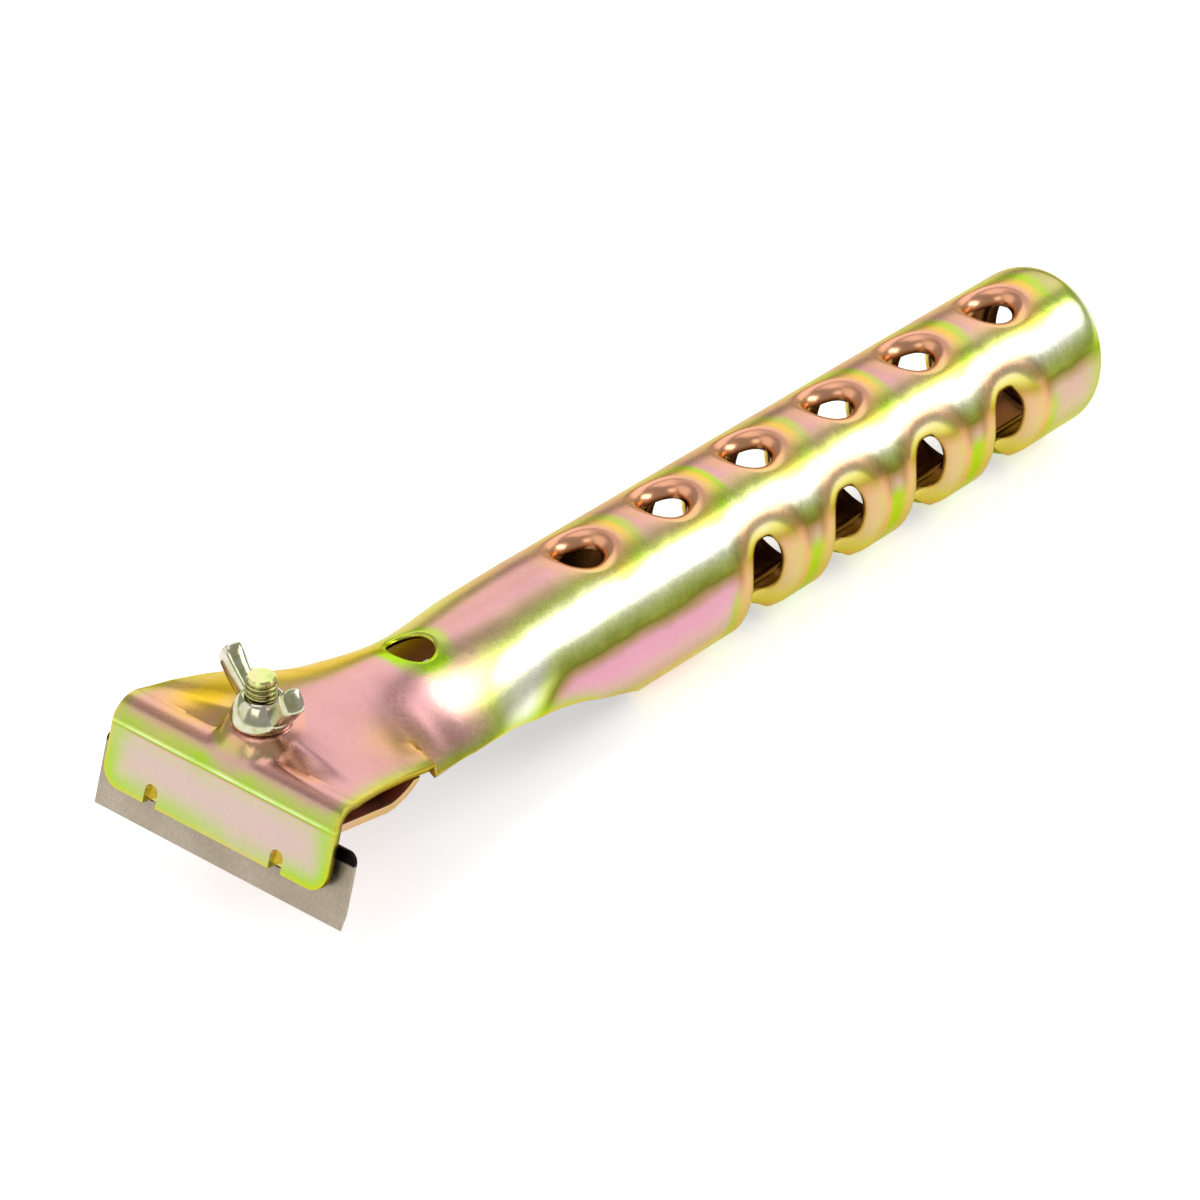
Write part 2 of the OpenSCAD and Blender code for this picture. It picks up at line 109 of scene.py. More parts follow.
scene.view_settings.view_transform = "Standard"
floor_mesh = bpy.data.meshes.new("floor")
floor_corners = [(i * FLOOR_HALF, j * FLOOR_HALF, 0) for i, j in ((-1, -1), (1, -1), (1, 1), (-1, 1))]
floor_mesh.from_pydata(floor_corners, [], [(0, 1, 2, 3)])
floor = bpy.data.objects.new("floor", floor_mesh)
scene.collection.objects.link(floor)

paper = bpy.data.materials.new("white_paper")
paper.use_nodes = True
tree = paper.node_tree
paper_inputs = tree.nodes["Principled BSDF"].inputs
for name, value in (("Base Color", PAPER), ("Roughness", 0.9), ("Specular IOR Level", 0.0),
                    ("Emission Color", WHITE)):
    paper_inputs[name].default_value = value
rays = add(tree, "ShaderNodeLightPath").outputs
seen = maths(tree, "ADD", rays["Is Camera Ray"], rays["Is Glossy Ray"])
seen = maths(tree, "ADD", seen, rays["Is Transmission Ray"])
tree.links.new(maths(tree, "MULTIPLY", seen, FLOOR_LIFT), paper_inputs["Emission Strength"])
floor_mesh.materials.append(paper)

world = bpy.data.worlds.new("studio")
world.use_nodes = True
scene.world = world
sky = world.node_tree.nodes["Background"].inputs
sky["Color"].default_value, sky["Strength"].default_value = WHITE, WORLD_LIGHT
print("floor", 2 * FLOOR_HALF, "m wide, world light", WORLD_LIGHT)

# %% Lamps
AIM = Vector((0, 0, 0.02))


def panel(name, place, size, power):
    """A soft rectangular lamp that faces the tool."""
    data = bpy.data.lights.new(name, "AREA")
    data.shape, data.size, data.size_y, data.energy = "RECTANGLE", size[0], size[1], power
    lamp = bpy.data.objects.new(name, data)
    lamp.location = place
    lamp.rotation_euler = (AIM - Vector(place)).to_track_quat("-Z", "Y").to_euler()
    scene.collection.objects.link(lamp)


panel("streak_lamp", (0.85, -0.62, 0.80), (0.9, 0.42), 5.8)
panel("back_lamp", (1.05, 0.85, 0.95), (1.5, 1.1), 6.0)
panel("top_lamp", (-0.15, 0.3, 1.5), (1.2, 0.8), 3.0)
panel("front_lamp", (-1.3, -0.3, 0.8), (0.8, 0.6), 2.2)
panel("left_lamp", (-0.95, 0.8, 0.62), (1.1, 1.2), 3.2)

# %% [markdown]
# ## The rule of the pressed sheet
# The handle is one sheet, so it is described by one rule: a place along the tool and an angle
# round it give a point on the outside, and a depth goes through the sheet. Ahead of the
# grip the rule is a row of neck sections, each a roof that grows rounder towards the tube.
# The sizes follow the CAD part, but the sheet is sampled much more finely, because a mirror
# finish shows every facet. The far row of side holes sits a little further back than the near
# one: the daylight that shows through the holes gives that away.

# %% Sizes in millimetres
SHEET = 1.5
GRIP_FRONT_R, GRIP_REAR_R, PITCH, TOP_HOLES = 16.6, 15.8, 23.5, 6
SIDE_HOLES = TOP_HOLES - 2
TOP_A, SIDE_A, SEAM_A, NECK_A = 42.0, 158.0, 178.0, 104.0
HEAD_W, TILT, FLANGE_H = 54.0, math.radians(16.0), 17.3
FOLD_R, CORNER_R, NECK_LEN, NECK_TUCK = 5.0, 4.0, 76.5, 0.5
RIM_LEN, RIM_IN, RIM_SLANT = 4.8, 2.6, 2.0
X_FIRST = -PITCH / 2
X_LAST = X_FIRST + TOP_HOLES * PITCH
FOLD_X, FOLD_Z = X_FIRST - NECK_LEN, GRIP_FRONT_R
CORNER = np.array([FOLD_X - FOLD_R * math.cos(TILT), 0.0, FOLD_Z + FOLD_R * math.sin(TILT)])
BACK_DIR = np.array([math.cos(TILT), 0.0, -math.sin(TILT)])
DOWN_DIR = np.array([-math.sin(TILT), 0.0, -math.cos(TILT)])
BOLT_S, HANG_S, PAD_RISE = 0.05, 0.443, 3.2
BOLT_X, PAD_Z, HANG_X = FOLD_X + BOLT_S * NECK_LEN, GRIP_FRONT_R + PAD_RISE, X_FIRST - HANG_S * NECK_LEN
# grid steps to one pitch, and by how many of them the far row of side holes lags
STEPS, FAR_LAG = 18, 3
FAR_BACK = FAR_LAG * PITCH / STEPS
NOTCH_S = 0.315
# place along the neck, rise of the ridge, width, edge height, roundness
NECK = np.array([
    [0, 0.05, 1, 1, 0], [0.027, 1.4, 0.961, 1, 0], [0.06, 2.7, 0.931, 1, 0],
    [0.118, 3.0, 0.873, 1, 0], [0.223, 2.4, 0.765, 1, 0.05], [NOTCH_S, 1.9, 0.667, 1, 0.1],
    [0.323, 1.85, 0.657, 0.908, 0.1], [0.419, 1.35, 0.48, 0.769, 0.25],
    [0.511, 0.8, 0.294, 0.61, 0.35], [0.589, 0.35, 0.186, 0.53, 0.5],
    [0.668, 0.05, 0.108, 0.462, 0.7], [0.76, -0.15, 0.06, 0.357, 0.9],
    [0.838, -0.2, 0.03, 0.281, 1], [0.923, -0.1, 0.01, 0.158, 1], [1.0, 0, 0, 0, 1]])
BEHIND_NOTCH = NECK[6:]
# angle of the open edge where the trough closes into the tube
MOUTH_A = np.array([NECK_A, 109.5, 115.5, 124, 138, 163, SEAM_A])
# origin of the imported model: middle of the length, underside of the grip
front_x = CORNER[0] + FLANGE_H * DOWN_DIR[0]
rear_x = X_LAST + RIM_LEN + RIM_SLANT
seam_r = GRIP_FRONT_R + (GRIP_REAR_R - GRIP_FRONT_R) * PITCH / (X_LAST - X_FIRST)
OFFSET = np.array([-(front_x + rear_x) / 2, 0.0, -seam_r * math.cos(math.radians(SEAM_A))])


def to_row(points):
    """Millimetres on the tool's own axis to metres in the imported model's frame."""
    return (np.asarray(points, float) + OFFSET) * 0.001


print("from the flange to the end of the grip", round(float(rear_x - front_x), 1), "mm")

# %% Sections of the neck
RIDGE_Q, LEAST_DROP, TINY, SECTION_STEP = 0.3, 0.02, 1e-6, 0.01
# the left wall hangs lower: by how much, and where along the neck that comes and goes
LEFT_LOW, LEFT_COMES, LEFT_GOES = 3.2, (0.45, 0.72), (0.86, 1.0)
# by how much the head stands above its plain slope, at places along the neck
LIFT_AT, LIFT_BY = [0, 0.1, 0.2, NOTCH_S], [0, 0.9, 1.2, 1.0]
# share of the neck over which the step at the notch is evened out, and where across it shows
STEP_SPREAD, STEP_ACROSS = 0.09, (0.7, 0.95)


def monotone(x, knots, values):
    """A smooth curve through the knots that never overshoots them."""
    h, d = np.diff(knots), np.diff(values) / np.diff(knots)
    slope = np.concatenate([d[:1], np.zeros(len(d) - 1), d[-1:]])
    same = d[:-1] * d[1:] > 0
    a, b = 2 * h[1:] + h[:-1], h[1:] + 2 * h[:-1]
    low, high = np.where(same, d[:-1], 1), np.where(same, d[1:], 1)
    slope[1:-1] = np.where(same, (a + b) / (a / low + b / high), 0)
    i = np.clip(np.searchsorted(knots, x) - 1, 0, len(h) - 1)
    t = (x - knots[i]) / h[i]
    return ((1 + 2 * t) * (1 - t) ** 2 * values[i] + t * (1 - t) ** 2 * h[i] * slope[i]
            + t * t * (3 - 2 * t) * values[i + 1] + t * t * (t - 1) * h[i] * slope[i + 1])


def mix(a, b, t):
    """From a at share 0 to b at share 1."""
    return a + (b - a) * t


def ease(value, low, high):
    """Rises softly from 0 at low to 1 at high."""
    t = np.clip((value - low) / (high - low), 0, 1)
    return t * t * (3 - 2 * t)


def neck_outer(s, w):
    """Half-width and height of the outer face at place s along the neck and fraction w across."""
    na = math.radians(NECK_A)
    grip_y, grip_z = GRIP_FRONT_R * math.sin(na), GRIP_FRONT_R * math.cos(na)
    rise, wide, rounding = (monotone(s, NECK[:, 0], NECK[:, k]) for k in (1, 2, 4))
    edge = monotone(np.maximum(s, BEHIND_NOTCH[0, 0]), BEHIND_NOTCH[:, 0], BEHIND_NOTCH[:, 3])
    flat = FOLD_Z - s * NECK_LEN * math.tan(TILT) + np.interp(s, LIFT_AT, LIFT_BY)
    notch_z = FOLD_Z - NOTCH_S * NECK_LEN * math.tan(TILT)
    y = mix(grip_y, HEAD_W / 2 - NECK_TUCK, wide)
    low = mix(grip_z, notch_z, edge)
    step = notch_z + LIFT_BY[-1] - mix(grip_z, notch_z, BEHIND_NOTCH[0, 3])
    ahead = s <= NOTCH_S + TINY
    even = np.where(ahead, flat - step / 2 * ease(s, NOTCH_S - STEP_SPREAD, NOTCH_S),
                    low + step / 2 * (1 - ease(s, NOTCH_S, NOTCH_S + STEP_SPREAD)))
    z = mix(even, np.where(ahead, flat, low), ease(np.abs(w), *STEP_ACROSS))
    z = z - LEFT_LOW * (w > 0) * ease(s, *LEFT_COMES) * (1 - ease(s, *LEFT_GOES))
    drop = np.maximum(GRIP_FRONT_R + rise - z, LEAST_DROP)
    roof = (np.sqrt(w * w + RIDGE_Q ** 2) - RIDGE_Q) / (math.sqrt(1 + RIDGE_Q ** 2) - RIDGE_Q)
    r, a = (y * y + drop * drop) / (2 * drop), 2 * np.arctan2(drop, y)
    return (mix(w * y, r * np.sin(w * a), rounding),
            GRIP_FRONT_R + rise + mix(-drop * roof, r * np.cos(w * a) - r, rounding))


def neck_point(x, angle, depth):
    """A point of the neck, the depth measured square to its section."""
    s, w = (x - FOLD_X) / NECK_LEN, angle / NECK_A
    y, z = neck_outer(s, w)
    (y0, z0), (y1, z1) = neck_outer(s, w - SECTION_STEP), neck_outer(s, w + SECTION_STEP)
    size = np.hypot(y1 - y0, z1 - z0)
    return np.stack([x + 0 * y, y + depth * (z1 - z0) / size, z - depth * (y1 - y0) / size], -1)


ridge_at_nut = neck_outer(np.array([BOLT_S]), np.array([0.0]))[1][0]
print("neck ridge at the nut", round(float(ridge_at_nut), 2), "mm above the grip's axis")

# %% Grip and head
LOW_DENT, DENT_X = 2.3, 37.3
# along: full within the first and gone at the second; round: starts and is full
DENT_REACH, DENT_ANGLES = (1.2, 6.7), (108, 136)


def low_dent(x, angle):
    """Below each side hole the wall is pressed in further, down to the seam."""
    first = DENT_X + FAR_BACK * (angle > 0)
    station = first + PITCH * np.clip(np.round((x - first) / PITCH), 0, SIDE_HOLES - 1)
    return LOW_DENT * (1 - ease(np.abs(x - station), *DENT_REACH)) * ease(np.abs(angle), *DENT_ANGLES)


def grip_point(x, angle, depth):
    """A point of the tapered tube, the depth measured towards its axis."""
    r = mix(GRIP_FRONT_R, GRIP_REAR_R, (x - X_FIRST) / (X_LAST - X_FIRST)) - depth - low_dent(x, angle)
    a = np.radians(angle)
    return np.stack([x + 0 * r, r * np.sin(a), r * np.cos(a)], -1)


def head_row(back_by, down_by, y):
    """A row of points across the head, measured from the corner of the fold."""
    p = np.tile(CORNER + back_by * BACK_DIR + down_by * DOWN_DIR, (len(y), 1))
    p[:, 1] = y
    return p


def both(rule, xs, angles):
    """The outer and the inner face of the sheet at the same places."""
    return rule(xs, angles, 0.0), rule(xs, angles, SHEET)


crown_z = grip_point(np.array([X_FIRST, X_LAST]), np.zeros(2), 0.0)[:, 2]
print("crown of the grip, front and rear", crown_z.round(2), "mm above its axis")

# %% [markdown]
# ## Laying the sheet out in patches
# A sunken hole needs rings of faces that follow its lip, so the sheet is laid out as a quilt:
# plain grids for the flange, the neck and the strips by the seam, and a square patch of rings
# round every hole. Neighbouring patches share their border points. Each point is kept twice,
# on the outer and on the inner face; free borders are closed at the end, which gives the
# sheet its thickness without a modifier that would blur the sharp collars.

# %% The quilt
SEWN_DIGITS = 3


class Quilt:
    """A sheet sewn from grids: points that fall together are kept once."""

    def __init__(self):
        self.outer, self.inner, self.index, self.faces = [], [], {}, []

    def point(self, out, inn):
        key = tuple(np.round(out, SEWN_DIGITS))
        if key not in self.index:
            self.index[key] = len(self.outer)
            self.outer.append(out)
            self.inner.append(inn)
        return self.index[key]

    def grid(self, out, inn):
        rows, cols = out.shape[:2]
        ids = [[self.point(out[i, j], inn[i, j]) for j in range(cols)] for i in range(rows)]
        for i in range(rows - 1):
            for j in range(cols - 1):
                quad = [ids[i][j], ids[i + 1][j], ids[i + 1][j + 1], ids[i][j + 1]]
                if len(set(quad)) == 4:
                    self.faces.append(quad)

    def patch(self, rule, xs, angles):
        self.grid(*both(rule, *np.meshgrid(xs, angles, indexing="ij")))

    def mesh(self, name):
        """One closed mesh: outer faces, inner faces and a strip along every free border."""
        n, edges = len(self.outer), {}
        for f in self.faces:
            for k in range(4):
                pair = (f[k], f[(k + 1) % 4])
                edges[frozenset(pair)] = None if frozenset(pair) in edges else pair
        free = [pair for pair in edges.values() if pair]
        rims = [(a, b, b + n, a + n) for a, b in free]
        faces = self.faces + [[v + n for v in reversed(f)] for f in self.faces] + rims
        mesh = bpy.data.meshes.new(name)
        mesh.from_pydata(to_row(self.outer + self.inner).tolist(), [], faces)
        inside = mesh.attributes.new("inside", "FLOAT", "POINT")
        inside.data.foreach_set("value", np.repeat([0.0, 1.0], n))
        self.border = np.array([self.outer[a] for a, b in free])
        bm = bmesh.new()
        bm.from_mesh(mesh)
        bmesh.ops.recalc_face_normals(bm, faces=bm.faces)
        bm.to_mesh(mesh)
        bm.free()
        return mesh


quilt = Quilt()
print("points within", 10 ** -SEWN_DIGITS, "mm are sewn together")

# %% One sunken hole
FLAT_RINGS, LIP_RINGS = 3, 10


def sunken_hole(quilt, rule, xs, angles, centre, mouth, throat, depth, square=1.0):
    """Rings from a square border over a rounded lip down to the throat of one hole."""
    sides = ([(x, angles[0]) for x in xs[:-1]] + [(xs[-1], a) for a in angles[:-1]]
             + [(x, angles[-1]) for x in xs[:0:-1]] + [(xs[0], a) for a in angles[:0:-1]])
    border = np.array(sides + sides[:1])
    beside = rule(np.array([centre[0]] * 2), np.array([centre[1] - 1, centre[1] + 1]), 0.0)
    per_degree = np.linalg.norm(beside[1] - beside[0]) / 2
    turn = np.arctan2((border[:, 1] - centre[1]) * per_degree / mouth[1],
                      (border[:, 0] - centre[0]) / mouth[0])
    around = np.stack([np.cos(turn), np.sin(turn)], 1)
    around = np.sign(around) * np.abs(around) ** square
    lip = np.stack([centre[0] + around[:, 0] * mouth[0],
                    centre[1] + around[:, 1] * mouth[1] / per_degree], 1)
    rings = [both(rule, *mix(border, lip, step / FLAT_RINGS).T) for step in range(FLAT_RINGS)]
    for step in range(LIP_RINGS + 1):
        v = math.radians(90) * step / LIP_RINGS
        p = around * mix(np.array(mouth), np.array(throat), math.sin(v))
        q = p + SHEET * math.sin(v) * p / np.linalg.norm(p, axis=1, keepdims=True)
        sunk = depth * (1 - math.cos(v))
        rings.append([rule(centre[0] + at[:, 0], centre[1] + at[:, 1] / per_degree, below)
                      for at, below in ((p, sunk), (q, sunk + SHEET * math.cos(v)))])
    quilt.grid(*np.array(rings).swapaxes(0, 1))


print("rings in each hole", FLAT_RINGS + LIP_RINGS)

# %% Flange, fold and neck
CELL_STEPS, STRIP_STEPS, CORNER_STEPS, FLANGE_STEPS, FOLD_STEPS = 24, 5, 14, 11, 15
HEAD_STEPS, NECK_STEPS = 55, 53
HANG_HOLE, HANG_REACH = dict(mouth=(5.5, 5.5), throat=(4.5, 4.5), depth=0.7), 9.2
SEAT_R, SEAT_FALL, SEAT_KNEE, PRESS_KNEE, SEAT_FADE = 6.3, 0.85, 0.5, 0.8, (7.0, 11.0)

top_angles = np.linspace(-TOP_A, TOP_A, STEPS + 1)
side_share = (SIDE_A - TOP_A) / (SEAM_A - TOP_A)
side_steps = np.concatenate([np.linspace(0, side_share, CELL_STEPS + 1),
                             np.linspace(side_share, 1, STRIP_STEPS + 1)[1:]])


def side_angles(edge):
    """Angles of the columns down one side, from the crown's patch to the edge."""
    return mix(TOP_A, edge, side_steps)


def across_angles(edge):
    """Angles of the columns from edge to edge."""
    side = side_angles(edge)
    return np.concatenate([-side[::-1], top_angles[1:-1], side])


def boss(out, inn):
    """Presses the round seat of the nut up out of the ridge, both faces alike."""
    far, z = np.hypot(out[..., 0] - BOLT_X, out[..., 1]), out[..., 2]
    seat = PAD_Z - SEAT_FALL * (far - SEAT_R + np.sqrt((far - SEAT_R) ** 2 + SEAT_KNEE))
    raised = (z + seat + np.sqrt((z - seat) ** 2 + PRESS_KNEE)) / 2
    raised = np.minimum(raised, np.maximum(PAD_Z, z))
    gain = np.maximum(raised - z, 0) * (1 - ease(far, *SEAT_FADE))
    out[..., 2] += gain
    inn[..., 2] += gain
    return out, inn


across = across_angles(NECK_A) / NECK_A
corner_turn = np.radians(np.linspace(90, 0, CORNER_STEPS + 1))
fold_turn = np.radians(np.linspace(90, 0, FOLD_STEPS + 1)[1:])
flange_downs = np.concatenate([FLANGE_H - CORNER_R + CORNER_R * np.sin(corner_turn),
                               np.linspace(FLANGE_H - CORNER_R, FOLD_R, FLANGE_STEPS + 1)[1:]])
head_rows = []
for down in flange_downs:
    lower = max(down - FLANGE_H + CORNER_R, 0)
    half = HEAD_W / 2 - (CORNER_R - math.sqrt(max(CORNER_R ** 2 - lower ** 2, 0)))
    head_rows.append([head_row(depth, down, across * half) for depth in (0.0, SHEET)])
for turn in fold_turn:
    half = HEAD_W / 2 - NECK_TUCK * math.cos(turn)
    head_rows.append([head_row(FOLD_R - arm * math.sin(turn), FOLD_R - arm * math.cos(turn), across * half)
                      for arm in (FOLD_R, FOLD_R - SHEET)])
neck_xs = np.concatenate([np.linspace(FOLD_X, FOLD_X + NOTCH_S * NECK_LEN, HEAD_STEPS + 1)[1:],
                          np.linspace(FOLD_X + BEHIND_NOTCH[0, 0] * NECK_LEN, X_FIRST, NECK_STEPS + 1)])
x_grid, a_grid = np.meshgrid(neck_xs, across_angles(NECK_A), indexing="ij")
neck_rows = np.array(both(neck_point, x_grid, a_grid))
neck_rows[:, -1] = both(grip_point, x_grid[-1], a_grid[-1])
front_out, front_in = boss(*np.concatenate([np.array(head_rows).swapaxes(0, 1), neck_rows], 1))

by_hang = np.flatnonzero(np.abs(neck_xs - HANG_X) < HANG_REACH)
start, stop = len(head_rows) + by_hang[0], len(head_rows) + by_hang[-1]
beside_hole, every = slice(start, stop + 1), slice(None)
left_cols, right_cols = slice(0, len(side_steps)), slice(len(side_steps) + STEPS - 1, None)
for rows, cols in ((slice(0, start + 1), every), (slice(stop, None), every),
                   (beside_hole, left_cols), (beside_hole, right_cols)):
    quilt.grid(front_out[rows, cols], front_in[rows, cols])
sunken_hole(quilt, neck_point, neck_xs[by_hang], top_angles, (HANG_X, 0.0), **HANG_HOLE)
print("flange, fold and neck:", len(quilt.faces), "faces on each side")

# %% Grip with its sunken holes
TOP_HOLE = dict(mouth=(7.9, 7.9), throat=(4.6, 4.6), depth=3.3)
SIDE_HOLE = dict(mouth=(8.2, 14.8), throat=(4.6, 9.7), depth=2.7, square=0.75)
SIDE_SHIFT, SIDE_MID_A = 1.2, 98.0

grip_xs = X_FIRST + PITCH / STEPS * np.arange(TOP_HOLES * STEPS + 1)
for hole in range(TOP_HOLES):
    span = grip_xs[hole * STEPS:(hole + 1) * STEPS + 1]
    sunken_hole(quilt, grip_point, span, top_angles, (span[STEPS // 2], 0.0), **TOP_HOLE)
full_side = side_angles(SEAM_A)
cell_angles, strip_angles = full_side[:CELL_STEPS + 1], full_side[CELL_STEPS:]
mouth_knots = X_FIRST + PITCH / 6 * np.arange(len(MOUTH_A))
for side, lag in ((-1, 0), (1, FAR_LAG)):
    first, last = STEPS * 3 // 2 + lag, TOP_HOLES * STEPS - STEPS // 2 + lag
    for start in range(first, last, STEPS):
        span = grip_xs[start:start + STEPS + 1]
        middle = (span[STEPS // 2] + SIDE_SHIFT, side * SIDE_MID_A)
        sunken_hole(quilt, grip_point, span, side * cell_angles, middle, **SIDE_HOLE)
    quilt.patch(grip_point, grip_xs[first:last + 1], side * strip_angles)
    quilt.patch(grip_point, grip_xs[last:], side * full_side)
    mouth_xs = grip_xs[:first + 1]
    edges = monotone(np.minimum(mouth_xs, mouth_knots[-1]), mouth_knots, MOUTH_A)
    a_rows = side * np.array([side_angles(e) for e in edges])
    quilt.grid(*both(grip_point, np.repeat(mouth_xs[:, None], a_rows.shape[1], 1), a_rows))
print("with the grip:", len(quilt.faces), "faces on each side")

# %% Turned-in end, and the sheet as a mesh
RIM_STEPS, RIM_CURL, RIM_PACE = 12, 3.2, 1.25

rim_angles = across_angles(SEAM_A)
rim_x = np.full_like(rim_angles, X_LAST)
rim_reach = RIM_LEN + RIM_SLANT * np.cos(np.radians(rim_angles))
rim_rows = [both(grip_point, rim_x, rim_angles)]
for t in np.linspace(0, 1, RIM_STEPS + 1)[1:]:
    rings = [grip_point(rim_x, rim_angles, RIM_IN * t ** RIM_CURL + depth) for depth in (0.0, SHEET)]
    for ring in rings:
        ring[:, 0] += (1 - (1 - t) ** RIM_PACE) * rim_reach
    rim_rows.append(rings)
quilt.grid(*np.array(rim_rows).swapaxes(0, 1))
shell = bpy.data.objects.new("handle", quilt.mesh("handle"))
scene.collection.objects.link(shell)
print("handle sheet:", len(shell.data.vertices), "points,", len(shell.data.polygons), "faces")

# %% [markdown]
# ## Cutting the windows, the bolt hole and the lugs
# Along the seam the tube has four windows, one below each pair of side holes. They repeat at
# the pitch of the holes, so Geometry Nodes make the row of cutters: a rounded rectangle is
# swept into a prism and set out along a line. A Boolean then cuts them, with the bolt hole
# and the two half-round recesses of the lugs; the lugs themselves are joined on behind.

# %% Row of window cutters
WINDOW_X, WINDOW_LOW, WINDOW_HIGH = 40.4, (0, 0, -0.005), (0, 0, 0.011)


def wire(tree, *pairs):
    for source, target in pairs:
        tree.links.new(source, target)


def geometry_tree(name, *sizes):
    """A Geometry Nodes tree with named inputs, a material input and one output."""
    tree = bpy.data.node_groups.new(name, "GeometryNodeTree")
    for label, kind, value in sizes:
        socket = tree.interface.new_socket(label, in_out="INPUT", socket_type=kind)
        socket.default_value = value
    tree.interface.new_socket("Material", in_out="INPUT", socket_type="NodeSocketMaterial")
    tree.interface.new_socket("Geometry", in_out="OUTPUT", socket_type="NodeSocketGeometry")
    return tree, add(tree, "NodeGroupInput").outputs, add(tree, "NodeGroupOutput").inputs


def end_tree(tree, given, result, shape):
    """Ends a tree in real geometry that has its material."""
    real, paint = add(tree, "GeometryNodeRealizeInstances"), add(tree, "GeometryNodeSetMaterial")
    wire(tree, (shape, real.inputs["Geometry"]), (real.outputs[0], paint.inputs["Geometry"]),
         (given["Material"], paint.inputs["Material"]), (paint.outputs[0], result["Geometry"]))
    return tree


def window_row_tree():
    tree, given, result = geometry_tree(
        "window_row", ("Count", "NodeSocketInt", 4), ("Pitch", "NodeSocketFloat", 0.0235),
        ("Along", "NodeSocketFloat", 0.009), ("Across", "NodeSocketFloat", 0.0176),
        ("Corner", "NodeSocketFloat", 0.002), ("Start", "NodeSocketVector", (0, 0, 0)))
    outline = add(tree, "GeometryNodeCurvePrimitiveQuadrilateral")
    fillet = add(tree, "GeometryNodeFilletCurve", {"Count": 6}, mode="POLY")
    path = add(tree, "GeometryNodeCurvePrimitiveLine", {"Start": WINDOW_LOW, "End": WINDOW_HIGH})
    prism = add(tree, "GeometryNodeCurveToMesh", {"Fill Caps": True})
    spots, step = add(tree, "GeometryNodeMeshLine"), add(tree, "ShaderNodeCombineXYZ")
    place = add(tree, "GeometryNodeInstanceOnPoints")
    wire(tree, (given["Along"], outline.inputs["Width"]), (given["Across"], outline.inputs["Height"]),
         (outline.outputs[0], fillet.inputs["Curve"]), (given["Corner"], fillet.inputs["Radius"]),
         (path.outputs[0], prism.inputs["Curve"]), (fillet.outputs[0], prism.inputs["Profile Curve"]),
         (given["Count"], spots.inputs["Count"]), (given["Pitch"], step.inputs["X"]),
         (given["Start"], spots.inputs["Start Location"]), (step.outputs[0], spots.inputs["Offset"]),
         (spots.outputs[0], place.inputs["Points"]), (prism.outputs[0], place.inputs["Instance"]))
    return end_tree(tree, given, result, place.outputs[0])


def settle(obj):
    """Applies every modifier by keeping the evaluated mesh."""
    mesh = bpy.data.meshes.new_from_object(obj.evaluated_get(bpy.context.evaluated_depsgraph_get()))
    obj.modifiers.clear()
    obj.data = mesh
    return obj


def grown(name, tree, **values):
    """Runs a tree on an empty object and keeps the result as a plain mesh."""
    maker = bpy.data.objects.new(name, bpy.data.meshes.new(name))
    scene.collection.objects.link(maker)
    modifier = maker.modifiers.new(name, "NODES")
    modifier.node_group = tree
    for item in tree.interface.items_tree:
        if item.item_type == "SOCKET" and item.in_out == "INPUT" and item.name in values:
            modifier[item.identifier] = values[item.name]
    return settle(maker)


window_start = to_row([WINDOW_X, 0, -GRIP_FRONT_R])
plating = bpy.data.materials.new("yellow_zinc")  # its nodes follow under Finishes
cutters = grown("cutters", window_row_tree(), Count=SIDE_HOLES, Start=tuple(window_start), Material=plating)
cutter_box = [round(v * 1000, 1) for v in cutters.dimensions]
print("window cutters", len(cutters.data.polygons), "faces, box", cutter_box, "mm")

# %% Bolt hole and lugs
LUG_GAP, LUG_R, LUG_BACK, LUG_RISE, LUG_WALL, LUG_BITE = 30.4, 1.5, 3.95, 1.1, 0.45, 0.4
LUG_SHORT, CUT_BELOW, CUT_AHEAD = 0.2, 3, 2
LUG_YS = (-LUG_GAP / 2, LUG_GAP / 2)
BOLT_HOLE_R, BOLT_HOLE_Z, ROUND_STEPS = 3.4, (8.0, 28.0), 40


def loft(bm, rings):
    """Closes a row of equal rings into a solid with a cap at each end."""
    bm.faces.new(rings[0][::-1])
    bm.faces.new(rings[-1])
    for low, high in zip(rings, rings[1:]):
        for k in range(len(low)):
            after = (k + 1) % len(low)
            bm.faces.new((low[k], low[after], high[after], high[k]))


def prism_between(bm, outline, start, end):
    """A closed prism whose ends are the same outline at two places."""
    loft(bm, [[bm.verts.new(to_row(p + shift)) for p in outline] for shift in (start, end)])


def lug_outline(y, r, lowest):
    """A half-round arch in the plane of the flange, open downwards."""
    turn = np.radians(np.linspace(0, 180, 17))
    centre_down = FLANGE_H - LUG_R - LUG_RISE
    points = [(centre_down - r * math.sin(t), y + r * math.cos(t)) for t in turn]
    points = [(lowest, y + r)] + points + [(lowest, y - r)]
    return [CORNER + d * DOWN_DIR + np.array([0, w, 0]) for d, w in points]


def solid_from(name, build):
    """An object whose mesh is filled by a building function."""
    bm = bmesh.new()
    build(bm)
    bmesh.ops.recalc_face_normals(bm, faces=bm.faces)
    mesh = bpy.data.meshes.new(name)
    bm.to_mesh(mesh)
    bm.free()
    made = bpy.data.objects.new(name, mesh)
    scene.collection.objects.link(made)
    return made


def cut_shapes(bm):
    bm.from_mesh(cutters.data)
    turns = np.linspace(0, 2 * math.pi, ROUND_STEPS + 1)[:-1]
    ring = [np.array([BOLT_X + BOLT_HOLE_R * math.cos(a), BOLT_HOLE_R * math.sin(a), 0]) for a in turns]
    prism_between(bm, ring, *(np.array([0, 0, z]) for z in BOLT_HOLE_Z))
    for y in LUG_YS:
        prism_between(bm, lug_outline(y, LUG_R, FLANGE_H + CUT_BELOW),
                      -CUT_AHEAD * BACK_DIR, (LUG_BACK - SHEET) * BACK_DIR)


